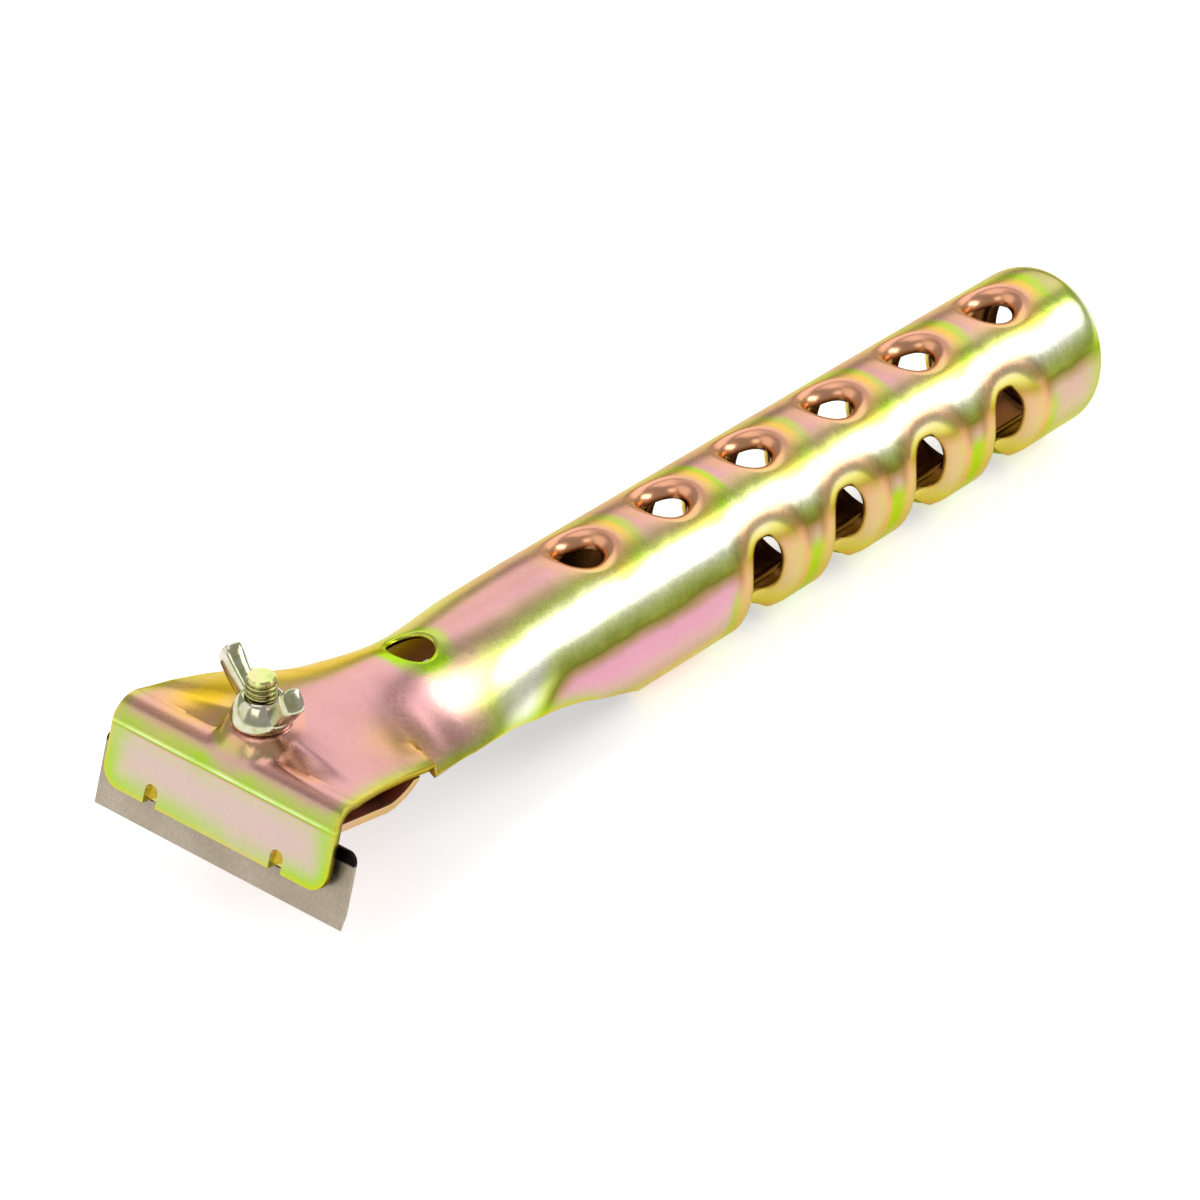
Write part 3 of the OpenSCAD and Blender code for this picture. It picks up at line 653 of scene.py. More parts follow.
def lug_shapes(bm):
    for y in LUG_YS:
        prism_between(bm, lug_outline(y, LUG_R + LUG_WALL, FLANGE_H - LUG_SHORT),
                      (SHEET - LUG_BITE) * BACK_DIR, LUG_BACK * BACK_DIR)


lugs, cuts = solid_from("lugs", lug_shapes), solid_from("cuts", cut_shapes)
bpy.data.objects.remove(cutters)
print("lugs", len(lugs.data.polygons), "faces, cutting shapes", len(cuts.data.polygons), "faces")

# %% Rounding, joining and cutting
SLIVER, EDGE_ROUND = 2e-6, 0.3


def rounded(obj, width, angle=40, segments=3):
    """Rounds the edges that are sharper than the angle; the width is in millimetres."""
    bevel = obj.modifiers.new("edges", "BEVEL")
    bevel.width, bevel.segments, bevel.limit_method = width * 0.001, segments, "ANGLE"
    bevel.angle_limit = math.radians(angle)
    bevel.use_clamp_overlap = True
    return settle(obj)


def carve(obj, tool, operation):
    """Joins a tool to an object or cuts it away, and removes the tool."""
    boolean = obj.modifiers.new("carve", "BOOLEAN")
    boolean.object, boolean.operation, boolean.solver = tool, operation, "EXACT"
    settle(obj)
    bpy.data.objects.remove(tool)
    return obj


def smooth(obj, angle=32):
    """Clears the slivers that a cut can leave, then shades softly except at real edges."""
    clean = bmesh.new()
    clean.from_mesh(obj.data)
    bmesh.ops.remove_doubles(clean, verts=clean.verts, dist=SLIVER)
    bmesh.ops.dissolve_degenerate(clean, dist=SLIVER, edges=clean.edges)
    clean.to_mesh(obj.data)
    clean.free()
    obj.data.shade_smooth()
    obj.data.set_sharp_from_angle(angle=math.radians(angle))
    return obj


rounded(shell, EDGE_ROUND, angle=50)
carve(shell, lugs, "UNION")
carve(shell, cuts, "DIFFERENCE")
smooth(shell)
print("handle:", len(shell.data.polygons), "faces after cutting")

# %% [markdown]
# ## Where the plating changes colour
# Yellow zinc is a thin clear film over metal, and its colour follows its thickness, as in a
# soap bubble. On this tool the bands run along the grip with the angle round it, and as they
# follow the tilt of each face they also carry a painted highlight and a painted dark
# reflection. A green rim follows every cut edge, each sunken hole has a green ring with gold
# and copper inside, and the creases by the nut are coppery too; a green and copper ring at the
# nut's foot is a painted reflection of the nut. Painted shade darkens the inner face of the
# sheet, the throats of the holes, the turned-in end and two thin lines. These places are worked
# out here, point by point, and kept on the mesh: a colour attribute holds the band in red, the
# rim in green, the copper in blue and the painted shade in alpha, and a second attribute holds
# the gold. The material only has to turn them into colours.

# %% Where each point lies
SIDE_RING, SIDE_POWER = (9.0, 15.0), 2.6


def hill(value, middle, width):
    """A soft bump of height 1 round the middle."""
    return np.exp(-((value - middle) / width) ** 2)


def arc(angle):
    """Millimetres round the grip for an angle in degrees."""
    return angle * GRIP_FRONT_R * math.pi / 180


def mesh_arrays(mesh):
    """Points in tool millimetres and unit normals of a finished mesh."""
    count = len(mesh.vertices)
    points, normals = np.empty(count * 3), np.empty(count * 3)
    mesh.vertices.foreach_get("co", points)
    mesh.vertex_normals.foreach_get("vector", normals)
    return points.reshape(-1, 3) * 1000 - OFFSET, normals.reshape(-1, 3)


points, normals = mesh_arrays(shell.data)
inside = np.empty(len(points))
shell.data.attributes["inside"].data.foreach_get("value", inside)
facing = normals * np.where(inside > 0.5, -1, 1)[:, None]
x, y, z = points.T
near, top_side = y < 0, facing[:, 2] > 0.3
along, turn = (x - FOLD_X) / NECK_LEN, np.degrees(np.arctan2(np.abs(y), z))
on_grip = ease(along, 0.96, 1.02)
radial = points * (0, 1, 1) / np.maximum(np.hypot(y, z), TINY)[:, None]
sunk = np.degrees(np.arccos(np.clip((facing * radial).sum(1), -1, 1))) * on_grip * (x < X_LAST + 0.5)
top_x = PITCH * np.clip(np.round(x / PITCH), 0, TOP_HOLES - 1)
from_top = np.hypot(x - top_x, arc(turn))
rear_side = ease((x - top_x) / np.maximum(from_top, 1), -0.7, 0.4)
below_crown = ease(arc(turn), 22, 27)
side_x = X_FIRST + 2 * PITCH + SIDE_SHIFT + FAR_BACK * (y > 0)
side_x = side_x + PITCH * np.clip(np.round((x - side_x) / PITCH), 0, SIDE_HOLES - 1)
side_off = (x - side_x) / SIDE_RING[0], (arc(turn) - arc(SIDE_MID_A)) / SIDE_RING[1]
from_side = sum(np.abs(off) ** SIDE_POWER for off in side_off) ** (1 / SIDE_POWER) * SIDE_RING[0]
from_bolt, from_hang = np.hypot(x - BOLT_X, y), np.hypot(x - HANG_X, y)
below, behind = (points - CORNER) @ DOWN_DIR, (points - CORNER) @ BACK_DIR
in_head = along < 0.04
on_flange = ease(below, FOLD_R - 1, FOLD_R + 2) * in_head
fold_angle = np.degrees(np.arctan2(-facing[:, 0], facing[:, 2]))
in_lug = (np.abs(np.abs(y) - LUG_GAP / 2) < LUG_R + 0.6) & (behind > 0.1) & (behind < LUG_BACK - SHEET + 0.2)
rim_share = (x - X_LAST) / (RIM_LEN + RIM_SLANT * np.cos(np.arctan2(y, z)))

borders = KDTree(len(quilt.border))
for i, point in enumerate(quilt.border):
    borders.insert(point, i)
borders.balance()
edge = np.array([borders.find(point)[2] for point in points])
print("points of the handle", len(points), "and of its free borders", len(quilt.border))

# %% Bands of the film, with a painted highlight and a painted dark reflection
# the turned-in end gets a dark band of painted shade, the lug recesses a bright band of painted highlight
FLANGE_BAND, END_SHADE_BAND, LUG_HIGHLIGHT_BAND = 112, 68, 45
# the far side runs through the same bands at its own pace: angle there, angle of the band
FAR_TURN = [0, 50, 75, 95, 120, 180], [0, 14, 30, 58, 96, 180]
FAR_LEAN = [0, 20, 50, 90, 180], [0, 22, 28, 58, 150]

lean = np.degrees(np.arctan2(np.abs(facing[:, 1]), facing[:, 2]))
lean = np.where(facing[:, 1] > 0, np.interp(lean, *FAR_LEAN), lean)
head_band = 9 + 15 * ease(facing[:, 1], 0.04, 0.3)
band = mix(head_band, np.minimum(lean, 150), ease(along, 0.4, 0.95))
band = mix(band, np.where(y > 0, np.interp(turn, *FAR_TURN), turn), ease(along, 0.8, 1.1))
band = mix(band, FLANGE_BAND, on_flange)
# painted shade: a dark band on the turned-in end
band = mix(band, END_SHADE_BAND, ease(rim_share, 0.6, 0.9))
# painted highlight: a bright band in the lug recesses
band = np.where(in_lug & (on_flange > 0.5), LUG_HIGHLIGHT_BAND, band)
print("bands from", round(float(band.min())), "to", round(float(band.max())), "degrees")

# %% Green rims
cut_rim = 0.95 * hill(edge, 0, mix(2.0, 3.6, on_flange)) * (1 - on_grip)
fold_rim = hill(fold_angle, 62, 22) * np.exp(-np.maximum(below - FOLD_R, 0) / 2.6)
fold_rim = fold_rim * in_head * ease(from_bolt, 8, 11)
hole_rim = hill(from_top, 10.9, 1.7) * rear_side + 0.85 * hill(from_side, 10.8, 1.6) * below_crown
hang_rim = 0.9 * hill(from_hang, 6.3, 1.3) * top_side
# in front of the nut's foot, a green ring that is a painted reflection of the nut
seat_reflection = 0.75 * hill(from_bolt, 7.3, 0.9) * (1 - ease(x, BOLT_X - 4, BOLT_X + 1)) * top_side
end_rim = 0.5 * ease(rim_share, -0.6, 0.5) * (1 - ease(rim_share, 0.55, 0.85))
seam_rim = 0.5 * hill(edge, 0, 2.5) * on_grip * (sunk < 20)
side_wash = 0.42 * ease(x, 25, 31) * ease(turn, 70, 84) * near
rim = cut_rim + fold_rim + on_grip * hole_rim + hang_rim + seat_reflection + end_rim + seam_rim + side_wash
print("share of points with a green rim", round(float((rim > 0.5).mean()), 2))

# %% Copper, gold, painted reflection and painted shade
# the crease that runs out from the nut on the near side: across, along
CREASE = [6.9, 12.2, 15.0, 18.1], [-86.6, -89.0, -88.8, -88.3]


def keep_tint(mesh, band, rim, copper, inside, gold):
    """Writes the places to the mesh, for the material to read; the alpha holds painted shade."""
    tint = mesh.attributes.new("tint", "FLOAT_COLOR", "POINT")
    values = np.stack([band / 180, rim, copper, inside], 1)
    tint.data.foreach_set("color", np.clip(values, 0, 1).astype(np.float32).ravel())
    yellow = mesh.attributes.new("gold", "FLOAT", "POINT")
    yellow.data.foreach_set("value", np.clip(gold, 0, 1).astype(np.float32))


def patch_at(mid_x, mid_y, long, wide):
    """A soft oval patch on the head or the neck."""
    return hill(np.hypot((x - mid_x) / long, (y - mid_y) / wide), 0, 1)


crease_x = np.interp(-y, *CREASE)
crease = hill(x, crease_x, 1.2) * ease(-y, 5.5, 8) * (1 - ease(-y, 15, 20)) * top_side
crest = hill(fold_angle, 20, 11) * in_head * (np.abs(y) < 25)
tick = hill(x, -63.7, 1.0) * ease(np.abs(y), 15, 18) * (facing[:, 2] > 0)
lips = (0.6 * (1 - ease(from_top, 6.6, 8.6)) + 0.25 * (1 - ease(from_side, 5.0, 7.5))
        + 0.6 * hill(from_side, 8.9, 0.9))
# the copper ring at the nut's foot is a painted reflection of the nut
copper = lips * on_grip + 0.3 * crest + 0.5 * hill(from_bolt, 6.8, 1.0) + 0.7 * crease + 0.5 * tick

patches = patch_at(-84, 15, 6, 8) + patch_at(-70, 15, 14, 4) + 0.5 * patch_at(-66, -17, 7, 5)
left_edge = ease(facing[:, 1], 0.1, 0.4) * ease(along, 0.08, 0.16) * (1 - ease(along, 0.42, 0.62))
front_gold = (0.85 * patches + 0.95 * left_edge + 0.6 * tick) * top_side * (1 - on_grip)
hole_gold = (0.3 * (1 - ease(from_side, 6.5, 9.0)) + 0.4 * (1 - ease(from_top, 5.0, 7.5))
             + 0.85 * hill(from_top, 8.8, 1.1) * (0.25 + 0.75 * rear_side) + 0.4 * hill(from_side, 9.0, 1.6))
gold = on_grip * hole_gold + front_gold + 0.45 * hill(edge, 0, 0.7) + 0.6 * in_lug * on_flange

# a thin painted dark reflection above the near side holes, and painted shade along the crease by the nut
hole_dark_reflection = 0.45 * hill(from_side, 10.0, 1.1) * (1 - below_crown) * on_grip * near
crease_shade = 0.6 * hill(x, crease_x, 0.7) * ease(-y, 4, 6) * (1 - ease(-y, 13, 18)) * top_side
# painted shade on the inner face, down the throats and on the turned-in end, with the two lines above
dark = np.maximum.reduce([inside, 0.75 * ease(sunk, 72, 88), 0.5 * ease(rim_share, 0.7, 0.95),
                          hole_dark_reflection, crease_shade])
keep_tint(shell.data, band, rim, copper, dark, gold)
shell.data.attributes.remove(shell.data.attributes["inside"])
print("share of dark points", round(float((dark > 0.5).mean()), 2))

# %% [markdown]
# ## Finishes
# Two effects are shared by several of the metals, so each is a node group. One turns the tint
# into plating colours, with the painted highlight, reflection and shade that it carries, and
# lets noise push the bands about, because no bath plates evenly. The other is fine grain: tiny
# pits and drawn lines that roughen the mirror. The shader itself stays in each material, with
# its own values.

# %% Node helpers
def linear(r, g, b):
    """A colour as seen on screen, 0 to 255, to the light values that shaders use."""
    shares = (r / 255, g / 255, b / 255)
    return tuple(v / 12.92 if v <= 0.04045 else ((v + 0.055) / 1.055) ** 2.4 for v in shares) + (1.0,)


def noise(tree, coords, scale, detail=3.0, rough=0.55):
    """The value of a Noise Texture; the scale counts its cells in a metre."""
    node = add(tree, "ShaderNodeTexNoise", {"Scale": scale, "Detail": detail, "Roughness": rough})
    tree.links.new(coords, node.inputs["Vector"])
    return node.outputs["Fac"]


def blend_colours(tree, factor, first, second):
    """From the first colour at factor 0 to the second at factor 1."""
    node = add(tree, "ShaderNodeMix", data_type="RGBA")
    for name, value in (("Factor", factor), ("A", first), ("B", second)):
        socket = next(k for k in node.inputs if k.name == name and k.enabled)
        if isinstance(value, tuple):
            socket.default_value = value
        else:
            tree.links.new(value, socket)
    return next(k for k in node.outputs if k.enabled)


def colour_ramp(tree, factor, stops):
    """A Color Ramp from places and screen colours."""
    node = add(tree, "ShaderNodeValToRGB")
    ramp = node.color_ramp
    while len(ramp.elements) < len(stops):
        ramp.elements.new(0.5)
    for element, (place, rgb) in zip(ramp.elements, stops):
        element.position, element.color = place, linear(*rgb)
    tree.links.new(factor, node.inputs["Fac"])
    return node.outputs["Color"]


def blended_noise(tree, first, second, share):
    """Two noises added up, each by its share."""
    return maths(tree, "ADD", maths(tree, "MULTIPLY", first, 1 - share), maths(tree, "MULTIPLY", second, share))


print("mid grey in light values", round(linear(128, 128, 128)[0], 3))

# %% The two shared effects
# angle round the grip, colour there: film tint, painted highlight at 38-50, painted dark reflection at 66-73
BANDS = ((0, (190, 142, 140)), (10, (204, 152, 154)), (20, (208, 178, 138)), (28, (204, 214, 112)),
         (38, (242, 242, 206)), (50, (248, 249, 228)), (60, (208, 220, 126)), (66, (150, 156, 60)),
         (69, (114, 114, 42)), (73, (160, 128, 92)), (80, (208, 150, 166)), (90, (216, 158, 178)),
         (100, (216, 174, 180)), (112, (206, 176, 176)), (126, (214, 204, 116)), (146, (216, 170, 84)),
         (180, (170, 126, 60)))
LIME, GOLD, GRAZING = linear(158, 200, 40), linear(226, 186, 58), linear(236, 226, 170)
# copper of the lips and creases, and the dark brown of the painted shade
COPPER, PAINTED_SHADE_BROWN = linear(230, 162, 126), linear(96, 58, 32)


def shader_group(name, inputs, outputs):
    """A shader node group with named number inputs and the given outputs."""
    tree = bpy.data.node_groups.new(name, "ShaderNodeTree")
    for label, value in inputs:
        socket = tree.interface.new_socket(label, in_out="INPUT", socket_type="NodeSocketFloat")
        socket.default_value = value
    for label, kind in outputs:
        tree.interface.new_socket(label, in_out="OUTPUT", socket_type=kind)
    place = add(tree, "ShaderNodeTexCoord").outputs["Object"]
    return tree, add(tree, "NodeGroupInput").outputs, add(tree, "NodeGroupOutput").inputs, place


def plating_group():
    tree, given, result, place = shader_group(
        "plating_colours", (("Band", 0.1), ("Rim", 0.0), ("Gold", 0.0), ("Copper", 0.0), ("Inside", 0.0),
                            ("Drift", 0.06)), [("Colour", "NodeSocketColor")])
    broad, small = (maths(tree, "SUBTRACT", noise(tree, place, scale, 2.0), 0.5) for scale in (38.0, 180.0))
    wander = maths(tree, "ADD", broad, maths(tree, "MULTIPLY", small, 0.3))
    shifted = maths(tree, "ADD", given["Band"], maths(tree, "MULTIPLY", wander, given["Drift"]))
    film_and_sheen = colour_ramp(tree, shifted, [(angle / 180, rgb) for angle, rgb in BANDS])
    uneven = maths(tree, "ADD", maths(tree, "MULTIPLY", wander, 1.6), 0.85)
    film_and_sheen = blend_colours(tree, maths(tree, "MULTIPLY", given["Rim"], uneven, True), film_and_sheen, LIME)
    # the last of these lays the painted shade
    for name, colour in (("Gold", GOLD), ("Copper", COPPER), ("Inside", PAINTED_SHADE_BROWN)):
        film_and_sheen = blend_colours(tree, given[name], film_and_sheen, colour)
    tree.links.new(film_and_sheen, result["Colour"])
    return tree


def grain_group():
    tree, given, result, place = shader_group(
        "fine_grain", (("Low", 0.25), ("High", 0.4), ("Stretch", 1.0)),
        [("Roughness", "NodeSocketFloat"), ("Height", "NodeSocketFloat")])
    squeeze = add(tree, "ShaderNodeCombineXYZ", {"Y": 1.0, "Z": 1.0})
    drawn = add(tree, "ShaderNodeVectorMath", operation="MULTIPLY")
    pits, lines = noise(tree, place, 1900.0, 2.0), noise(tree, drawn.outputs[0], 900.0, 2.0)
    mixed = blended_noise(tree, lines, noise(tree, place, 60.0), 0.5)
    spread = add(tree, "ShaderNodeMapRange", {"From Min": 0.3, "From Max": 0.7})
    height = maths(tree, "ADD", maths(tree, "MULTIPLY", pits, 0.5), lines)
    wire(tree, (given["Stretch"], squeeze.inputs["X"]), (place, drawn.inputs[0]),
         (squeeze.outputs[0], drawn.inputs[1]), (mixed, spread.inputs["Value"]),
         (given["Low"], spread.inputs["To Min"]), (given["High"], spread.inputs["To Max"]),
         (spread.outputs[0], result["Roughness"]), (height, result["Height"]))
    return tree


PLATING, GRAIN = plating_group(), grain_group()
print("shared effects:", PLATING.name, GRAIN.name)

# %% The metals
def metal(name, low, high, stretch=1.0, bump=0.02):
    """A metallic material whose roughness and fine relief come from the grain."""
    material = bpy.data.materials.get(name) or bpy.data.materials.new(name)
    material.use_nodes = True
    tree = material.node_tree
    bsdf = tree.nodes["Principled BSDF"].inputs
    bsdf["Metallic"].default_value = 1.0
    grain = add(tree, "ShaderNodeGroup", {"Low": low, "High": high, "Stretch": stretch}, node_tree=GRAIN)
    relief = add(tree, "ShaderNodeBump", {"Strength": bump, "Distance": 0.0001})
    wire(tree, (grain.outputs["Roughness"], bsdf["Roughness"]),
         (grain.outputs["Height"], relief.inputs["Height"]), (relief.outputs["Normal"], bsdf["Normal"]))
    return material, tree, bsdf


def attribute(tree, name):
    return add(tree, "ShaderNodeAttribute", attribute_name=name, attribute_type="GEOMETRY").outputs


def plated(name, low, high, drift):
    """Yellow zinc: the tint on the mesh, turned into colours."""
    material, tree, bsdf = metal(name, low, high, bump=0.003)
    tint, parts = attribute(tree, "tint"), add(tree, "ShaderNodeSeparateColor")
    film_and_sheen = add(tree, "ShaderNodeGroup", node_tree=PLATING)
    film_and_sheen.inputs["Drift"].default_value = drift
    wire(tree, (tint["Color"], parts.inputs["Color"]), (parts.outputs[0], film_and_sheen.inputs["Band"]),
         (parts.outputs[1], film_and_sheen.inputs["Rim"]), (parts.outputs[2], film_and_sheen.inputs["Copper"]),
         (tint["Alpha"], film_and_sheen.inputs["Inside"]), (attribute(tree, "gold")["Fac"], film_and_sheen.inputs["Gold"]),
         (film_and_sheen.outputs["Colour"], bsdf["Base Color"]))
    bsdf["Specular Tint"].default_value = GRAZING
    return material


def dress(piece, body, slot, material, *nodes):
    """Gives a finished piece its material, its body and the nodes that it stands for."""
    piece.data.materials.clear()
    piece.data.materials.append(material)
    piece.data.polygons.foreach_set("material_index", [0] * len(piece.data.polygons))
    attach(piece, body)
    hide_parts(*nodes)
    print(piece.name, "rides on", body, "with", len(piece.data.polygons), "faces")


yellow_zinc = plated("yellow_zinc", low=0.22, high=0.32, drift=0.09)
inner_zinc = plated("yellow_zinc_inner", low=0.28, high=0.45, drift=0.14)
dress(shell, "handle", "yellow_zinc", yellow_zinc, "handle_shell")

# %% [markdown]
# ## Backing angle and clamp strap
# Both are plain bent strips of the same plated sheet, and their solids already have nearly the
# right shape. Their edges are too sharp: punched sheet always has a small rounding, and that
# is what catches the light. So each mesh is copied, its triangles are joined back into
# flat faces, and its edges get a small bevel. The rear ends are then drawn out a little, to
# where the photograph shows them.

# %% Bent strips
MERGE, FLAT_WITHIN = 1e-6, math.radians(1)
REACH_BY, REACH_LIFT, NARROW_FROM = 2.6, 0.6, 10


def softened(node, width, angle=28):
    """A copy of a CAD node with rounded edges."""
    copied = bmesh.new()
    copied.from_mesh(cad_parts[node].data)
    bmesh.ops.remove_doubles(copied, verts=copied.verts, dist=MERGE)
    bmesh.ops.dissolve_limit(copied, angle_limit=FLAT_WITHIN, verts=copied.verts, edges=copied.edges)
    mesh = bpy.data.meshes.new(node)
    copied.to_mesh(mesh)
    copied.free()
    piece = bpy.data.objects.new(node + "_piece", mesh)
    scene.collection.objects.link(piece)
    return smooth(rounded(piece, width, angle), 30)


def strip_tint(piece, base):
    """Plain plating whose band follows the tilt of the face, under a light painted shade."""
    points, normals = mesh_arrays(piece.data)
    tilt = np.degrees(np.arccos(np.clip(np.abs(normals[:, 2]), 0, 1)))
    level = np.zeros(len(points))
    keep_tint(piece.data, base + 0.35 * tilt, level, level + 0.2, level + 0.15, level + 0.3)


def reach_back(piece, start, end, half=None):
    """Draws out the rear end of a strip, and narrows it to the given half-width."""
    points = mesh_arrays(piece.data)[0]
    share = ease(points[:, 0], start, end)
    points[:, 0] += REACH_BY * share
    points[:, 2] += REACH_LIFT * share
    if half:
        wide = np.abs(points[:, 1])
        squeeze = (half - NARROW_FROM) / (wide.max() - NARROW_FROM)
        narrow = np.where(wide > NARROW_FROM, NARROW_FROM + (wide - NARROW_FROM) * squeeze, wide)
        points[:, 1] = np.sign(points[:, 1]) * narrow
    piece.data.vertices.foreach_set("co", to_row(points).ravel())
    piece.data.update()


backing, strap = softened("backing_angle", EDGE_ROUND), softened("clamp_strap", EDGE_ROUND)
reach_back(backing, start=-80, end=-67.6, half=23.4)
reach_back(strap, start=-76, end=-68.6)
strip_tint(backing, base=100)
strip_tint(strap, base=88)
dress(backing, "handle", "yellow_zinc_inner", inner_zinc, "backing_angle")
dress(strap, "clamp", "yellow_zinc_inner", inner_zinc, "clamp_strap")

# %% [markdown]
# ## Blade
# The blade is a strip of hard steel, ground on its faces, so its lines all run slantwise in
# one direction. Along its upper edge the dark skin of the rolled strip was left on. The
# finish is made from object coordinates: noise stretched along the grinding direction, and a
# dark band wherever the height along the flange is above the ground part.

# %% Blade and its finish
GRIND_TURN, GRIND_SQUEEZE = (math.radians(38), 0, 0), (1.0, 1.0, 0.02)
GROUND = ((0.3, (150, 138, 120)), (0.5, (168, 156, 138)), (0.7, (186, 176, 160)))
SKIN_DARK, SKIN_FULL, SKIN_GONE = linear(26, 22, 20), 0.0022, 0.0026

blade = softened("blade", width=0.06, angle=20)
top_line = float((to_row(mesh_arrays(blade.data)[0]) @ DOWN_DIR).min())
ground_steel, tree, bsdf = metal("ground_steel", low=0.32, high=0.5, stretch=0.5, bump=0.01)
place = add(tree, "ShaderNodeTexCoord").outputs["Object"]
turned = add(tree, "ShaderNodeMapping", {"Rotation": GRIND_TURN, "Scale": GRIND_SQUEEZE})
tree.links.new(place, turned.inputs["Vector"])
lines, clouds = noise(tree, turned.outputs[0], 5200.0, 2.0, 0.7), noise(tree, place, 90.0)
steel = colour_ramp(tree, blended_noise(tree, lines, clouds, 0.4), GROUND)
height = add(tree, "ShaderNodeVectorMath", operation="DOT_PRODUCT")
height.inputs[1].default_value = tuple(DOWN_DIR)
skin = add(tree, "ShaderNodeMapRange", {"From Min": top_line + SKIN_FULL, "From Max": top_line + SKIN_GONE,
                                        "To Min": 1.0, "To Max": 0.0})
wire(tree, (place, height.inputs[0]), (height.outputs["Value"], skin.inputs["Value"]),
     (blend_colours(tree, skin.outputs[0], steel, SKIN_DARK), bsdf["Base Color"]))
dress(blade, "blade", "ground_steel", ground_steel, "blade")

# %% [markdown]
# ## Bolt with a real thread
# The end of the bolt stands in plain view in the middle of the wing nut, so its thread is
# modelled. A thread is a profile that follows a path, which is a job for Geometry Nodes: a
# spiral with the pitch of the thread carries a small triangle along it. The core under it is
# turned from a profile, and the six-sided head is a short loft. Bolt and nut have a paler
# plating than the sheet, and the grooves of the thread are coloured brown.

# %% Thread tree
def thread_tree():
    tree, given, result = geometry_tree(
        "bolt_thread", ("Radius", "NodeSocketFloat", 0.00262), ("Pitch", "NodeSocketFloat", 0.001),
        ("Turns", "NodeSocketFloat", 10.0), ("Depth", "NodeSocketFloat", 0.00034),
        ("Start", "NodeSocketVector", (0, 0, 0)))
    spiral = add(tree, "GeometryNodeCurveSpiral", {"Resolution": 48})
    rise = maths(tree, "MULTIPLY", given["Pitch"], given["Turns"])
    ridge = add(tree, "GeometryNodeCurvePrimitiveCircle", {"Resolution": 3})
    sweep = add(tree, "GeometryNodeCurveToMesh", {"Fill Caps": True})
    move = add(tree, "GeometryNodeTransform")
    wire(tree, (given["Radius"], spiral.inputs["Start Radius"]), (given["Radius"], spiral.inputs["End Radius"]),
         (given["Turns"], spiral.inputs["Rotations"]), (rise, spiral.inputs["Height"]),
         (given["Depth"], ridge.inputs["Radius"]), (spiral.outputs[0], sweep.inputs["Curve"]),
         (ridge.outputs[0], sweep.inputs["Profile Curve"]), (sweep.outputs[0], move.inputs["Geometry"]),
         (given["Start"], move.inputs["Translation"]))
    return end_tree(tree, given, result, move.outputs[0])


spiral_tree = thread_tree()
print("thread tree with", len(spiral_tree.nodes), "nodes")

# %% Pale plating
BOLT_COLOURS = ((0.3, (176, 186, 92)), (0.5, (206, 212, 138)), (0.7, (214, 196, 150)))
NUT_COLOURS = ((0.3, (164, 170, 104)), (0.45, (198, 198, 164)), (0.58, (216, 208, 196)), (0.7, (206, 172, 152)))
GROOVE_BROWN = linear(96, 66, 40)


def pale(name, low, high, stops):
    """Thin clear plating: patches of a few pale colours, and brown where the groove mask is set."""
    material, tree, bsdf = metal(name, low, high, stretch=0.6)
    place = add(tree, "ShaderNodeTexCoord").outputs["Object"]
    patchy = blended_noise(tree, noise(tree, place, 190.0), noise(tree, place, 900.0), 0.3)
    skin = colour_ramp(tree, patchy, stops)
    groove = attribute(tree, "groove")["Fac"]
    tree.links.new(blend_colours(tree, groove, skin, GROOVE_BROWN), bsdf["Base Color"])
    return material


bolt_zinc = pale("bolt_zinc", low=0.2, high=0.34, stops=BOLT_COLOURS)
nut_zinc = pale("pale_zinc", low=0.1, high=0.22, stops=NUT_COLOURS)
print("pale plating:", bolt_zinc.name, nut_zinc.name)

# %% Bolt
HEAD_H, HEAD_CHAMFER, HEAD_HALF = 0.004, 0.0006, 0.005
SHANK_R, SHANK_END, SHANK_ROOT = 0.00292, 0.0125, 0.0005
CORE_R, THREAD_LEN, THREAD_TURNS, ON_AXIS = 0.0026, 0.0121, 11.0, 1e-9
# radius and depth below the end of the bolt, where the core shows above the thread
BOLT_END = ((CORE_R, 0.012), (CORE_R, 0.0009), (0.0027, 0.0007), (0.0027, 0.0004), (0.0024, 0), (0, 0))
GROOVE_DEEP, GROOVE_OUT, GROOVE_TOP = 0.00264, 0.0028, 0.0011

bolt_low, bolt_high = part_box("clamp_bolt")
bolt_axis = float(to_row([BOLT_X, 0, 0])[0])


def turned_solid(bm, profile, axis_x, steps=64):
    """Turns [radius, height] points, all in metres, round a vertical axis."""
    rings = []
    for r, h in profile:
        turns = [2 * math.pi * k / steps for k in range(steps if r > ON_AXIS else 1)]
        rings.append([bm.verts.new((axis_x + r * math.cos(a), r * math.sin(a), h)) for a in turns])
    for low, high in zip(rings, rings[1:]):
        for k in range(steps):
            quad = [low[k % len(low)], low[(k + 1) % len(low)], high[(k + 1) % len(high)], high[k % len(high)]]
            bm.faces.new(list(dict.fromkeys(quad)))


def bolt_core(bm):
    foot = bolt_low.z + HEAD_H - SHANK_ROOT
    shank = [(0, foot), (SHANK_R, foot), (SHANK_R, bolt_high.z - SHANK_END)]
    turned_solid(bm, shank + [(r, bolt_high.z - down) for r, down in BOLT_END], bolt_axis)


def bolt_head(bm):
    corner_r, rings = HEAD_HALF / math.cos(math.radians(30)), []
    turns = [math.radians(30 + 60 * c) for c in range(6)]
    for k, h in ((0.9, 0.0), (1.0, HEAD_CHAMFER), (1.0, HEAD_H)):
        rings.append([bm.verts.new((bolt_axis + corner_r * k * math.cos(a), corner_r * k * math.sin(a),
                                    bolt_low.z + h)) for a in turns])
    loft(bm, rings)


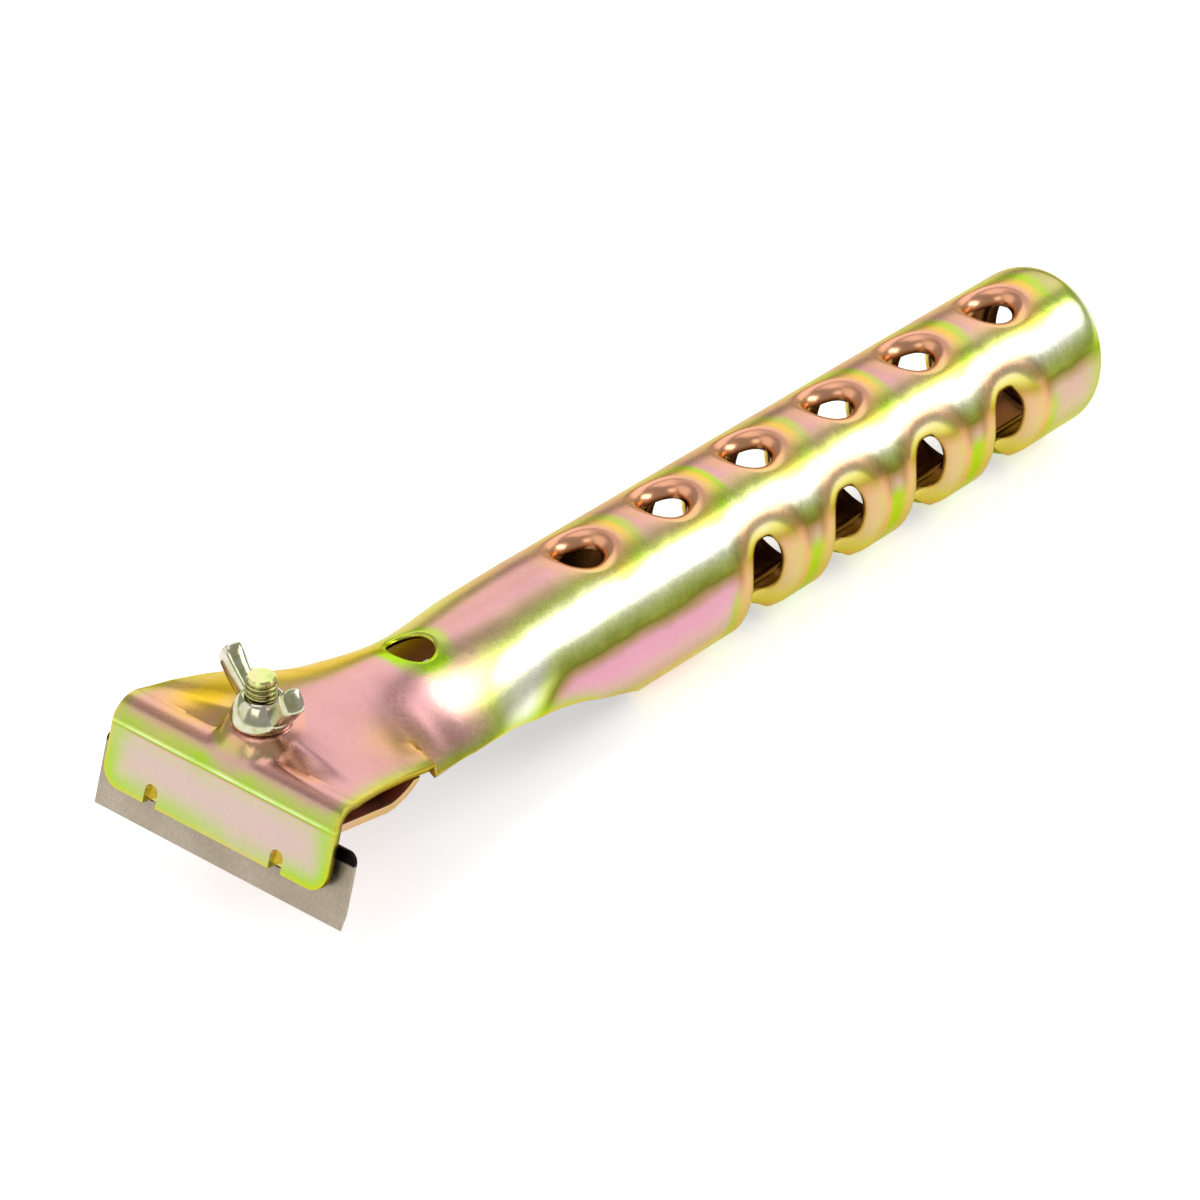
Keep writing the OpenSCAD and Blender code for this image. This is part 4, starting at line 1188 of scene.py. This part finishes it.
thread = grown("thread", spiral_tree, Turns=THREAD_TURNS, Start=(bolt_axis, 0, bolt_high.z - THREAD_LEN),
               Material=bolt_zinc)
bolt = smooth(solid_from("bolt", lambda bm: (bolt_core(bm), bolt_head(bm))), 30)
joined = bmesh.new()
joined.from_mesh(bolt.data)
joined.from_mesh(thread.data)
bmesh.ops.recalc_face_normals(joined, faces=joined.faces)
joined.to_mesh(bolt.data)
joined.free()
bpy.data.objects.remove(thread)
at = np.array([v.co for v in bolt.data.vertices])
deep = ease(-np.hypot(at[:, 0] - bolt_axis, at[:, 1]), -GROOVE_OUT, -GROOVE_DEEP)
deep = deep * (at[:, 2] < bolt_high.z - GROOVE_TOP)
bolt.data.attributes.new("groove", "FLOAT", "POINT").data.foreach_set("value", deep.astype(np.float32))
dress(bolt, "clamp", "pale_zinc", bolt_zinc, "clamp_bolt")

# %% [markdown]
# ## Wing nut
# A pressed wing nut: a domed hub, and two stubby wings that rise outwards and end in flat
# rounded faces. The hub is turned. A wing is a loft: rounded-square sections are carried
# along a rising line and shrink at the tip, and the two wings are joined to the hub.

# %% Wing nut
WING_TURN, WING_CORNERS, WING_SQUARE = math.radians(90 - 13), 28, 0.6
# distance from the axis and height of the middle, slope in degrees, half-height, half-thickness
WING = ((2.6, 3.0, 15, 2.2, 1.5), (4.4, 3.8, 26, 2.4, 1.55), (6.2, 5.2, 34, 2.5, 1.7),
        (7.8, 6.7, 36, 2.5, 1.9), (9.1, 8.3, 36, 2.45, 2.05), (10.0, 9.2, 33, 2.4, 2.05),
        (10.35, 9.45, 33, 2.15, 1.85), (10.5, 9.55, 33, 1.75, 1.45))
# radius and height of the hub's outline
HUB = ((3.06, 0.4), (3.5, 0), (5.1, 0), (5.5, 0.2), (5.7, 0.7), (5.68, 1.3), (5.45, 2.2), (5.05, 3.2),
       (4.6, 4.1), (4.2, 4.8), (3.85, 5.2), (3.5, 5.4), (3.06, 5.2))
BORE_R, BORE_LOW, BORE_HIGH, HUB_WELD = 0.00305, -0.001, 0.02, 1e-7

nut_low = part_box("wing_nut")[0]


def hub(bm):
    turned_solid(bm, [(r / 1000, nut_low.z + h / 1000) for r, h in HUB + HUB[:1]], bolt_axis)
    bmesh.ops.remove_doubles(bm, verts=bm.verts, dist=HUB_WELD)


def wing(bm, turn):
    rings = []
    for far, middle, slope, tall, thick in WING:
        ring, lift_a = [], math.radians(slope)
        for k in range(WING_CORNERS):
            a = 2 * math.pi * k / WING_CORNERS
            c, s = math.cos(a), math.sin(a)
            side = thick * math.copysign(abs(c) ** WING_SQUARE, c)
            high = tall * math.copysign(abs(s) ** WING_SQUARE, s)
            reach, rise = far - high * math.sin(lift_a), middle + high * math.cos(lift_a)
            ring.append(bm.verts.new((bolt_axis + (reach * math.cos(turn) - side * math.sin(turn)) / 1000,
                                      (reach * math.sin(turn) + side * math.cos(turn)) / 1000,
                                      nut_low.z + rise / 1000)))
        rings.append(ring)
    loft(bm, rings)


def bore(bm):
    low, high = nut_low.z + BORE_LOW, nut_low.z + BORE_HIGH
    turned_solid(bm, [(0, low), (BORE_R, low), (BORE_R, high), (0, high)], bolt_axis)


nut = solid_from("wing_nut_piece", hub)
for turn in (WING_TURN, WING_TURN + math.pi):
    carve(nut, solid_from("wing", lambda bm: wing(bm, turn)), "UNION")
carve(nut, solid_from("bore", bore), "DIFFERENCE")
smooth(nut, 38)
nut.data.attributes.new("groove", "FLOAT", "POINT")
dress(nut, "nut", "pale_zinc", nut_zinc, "wing_nut")
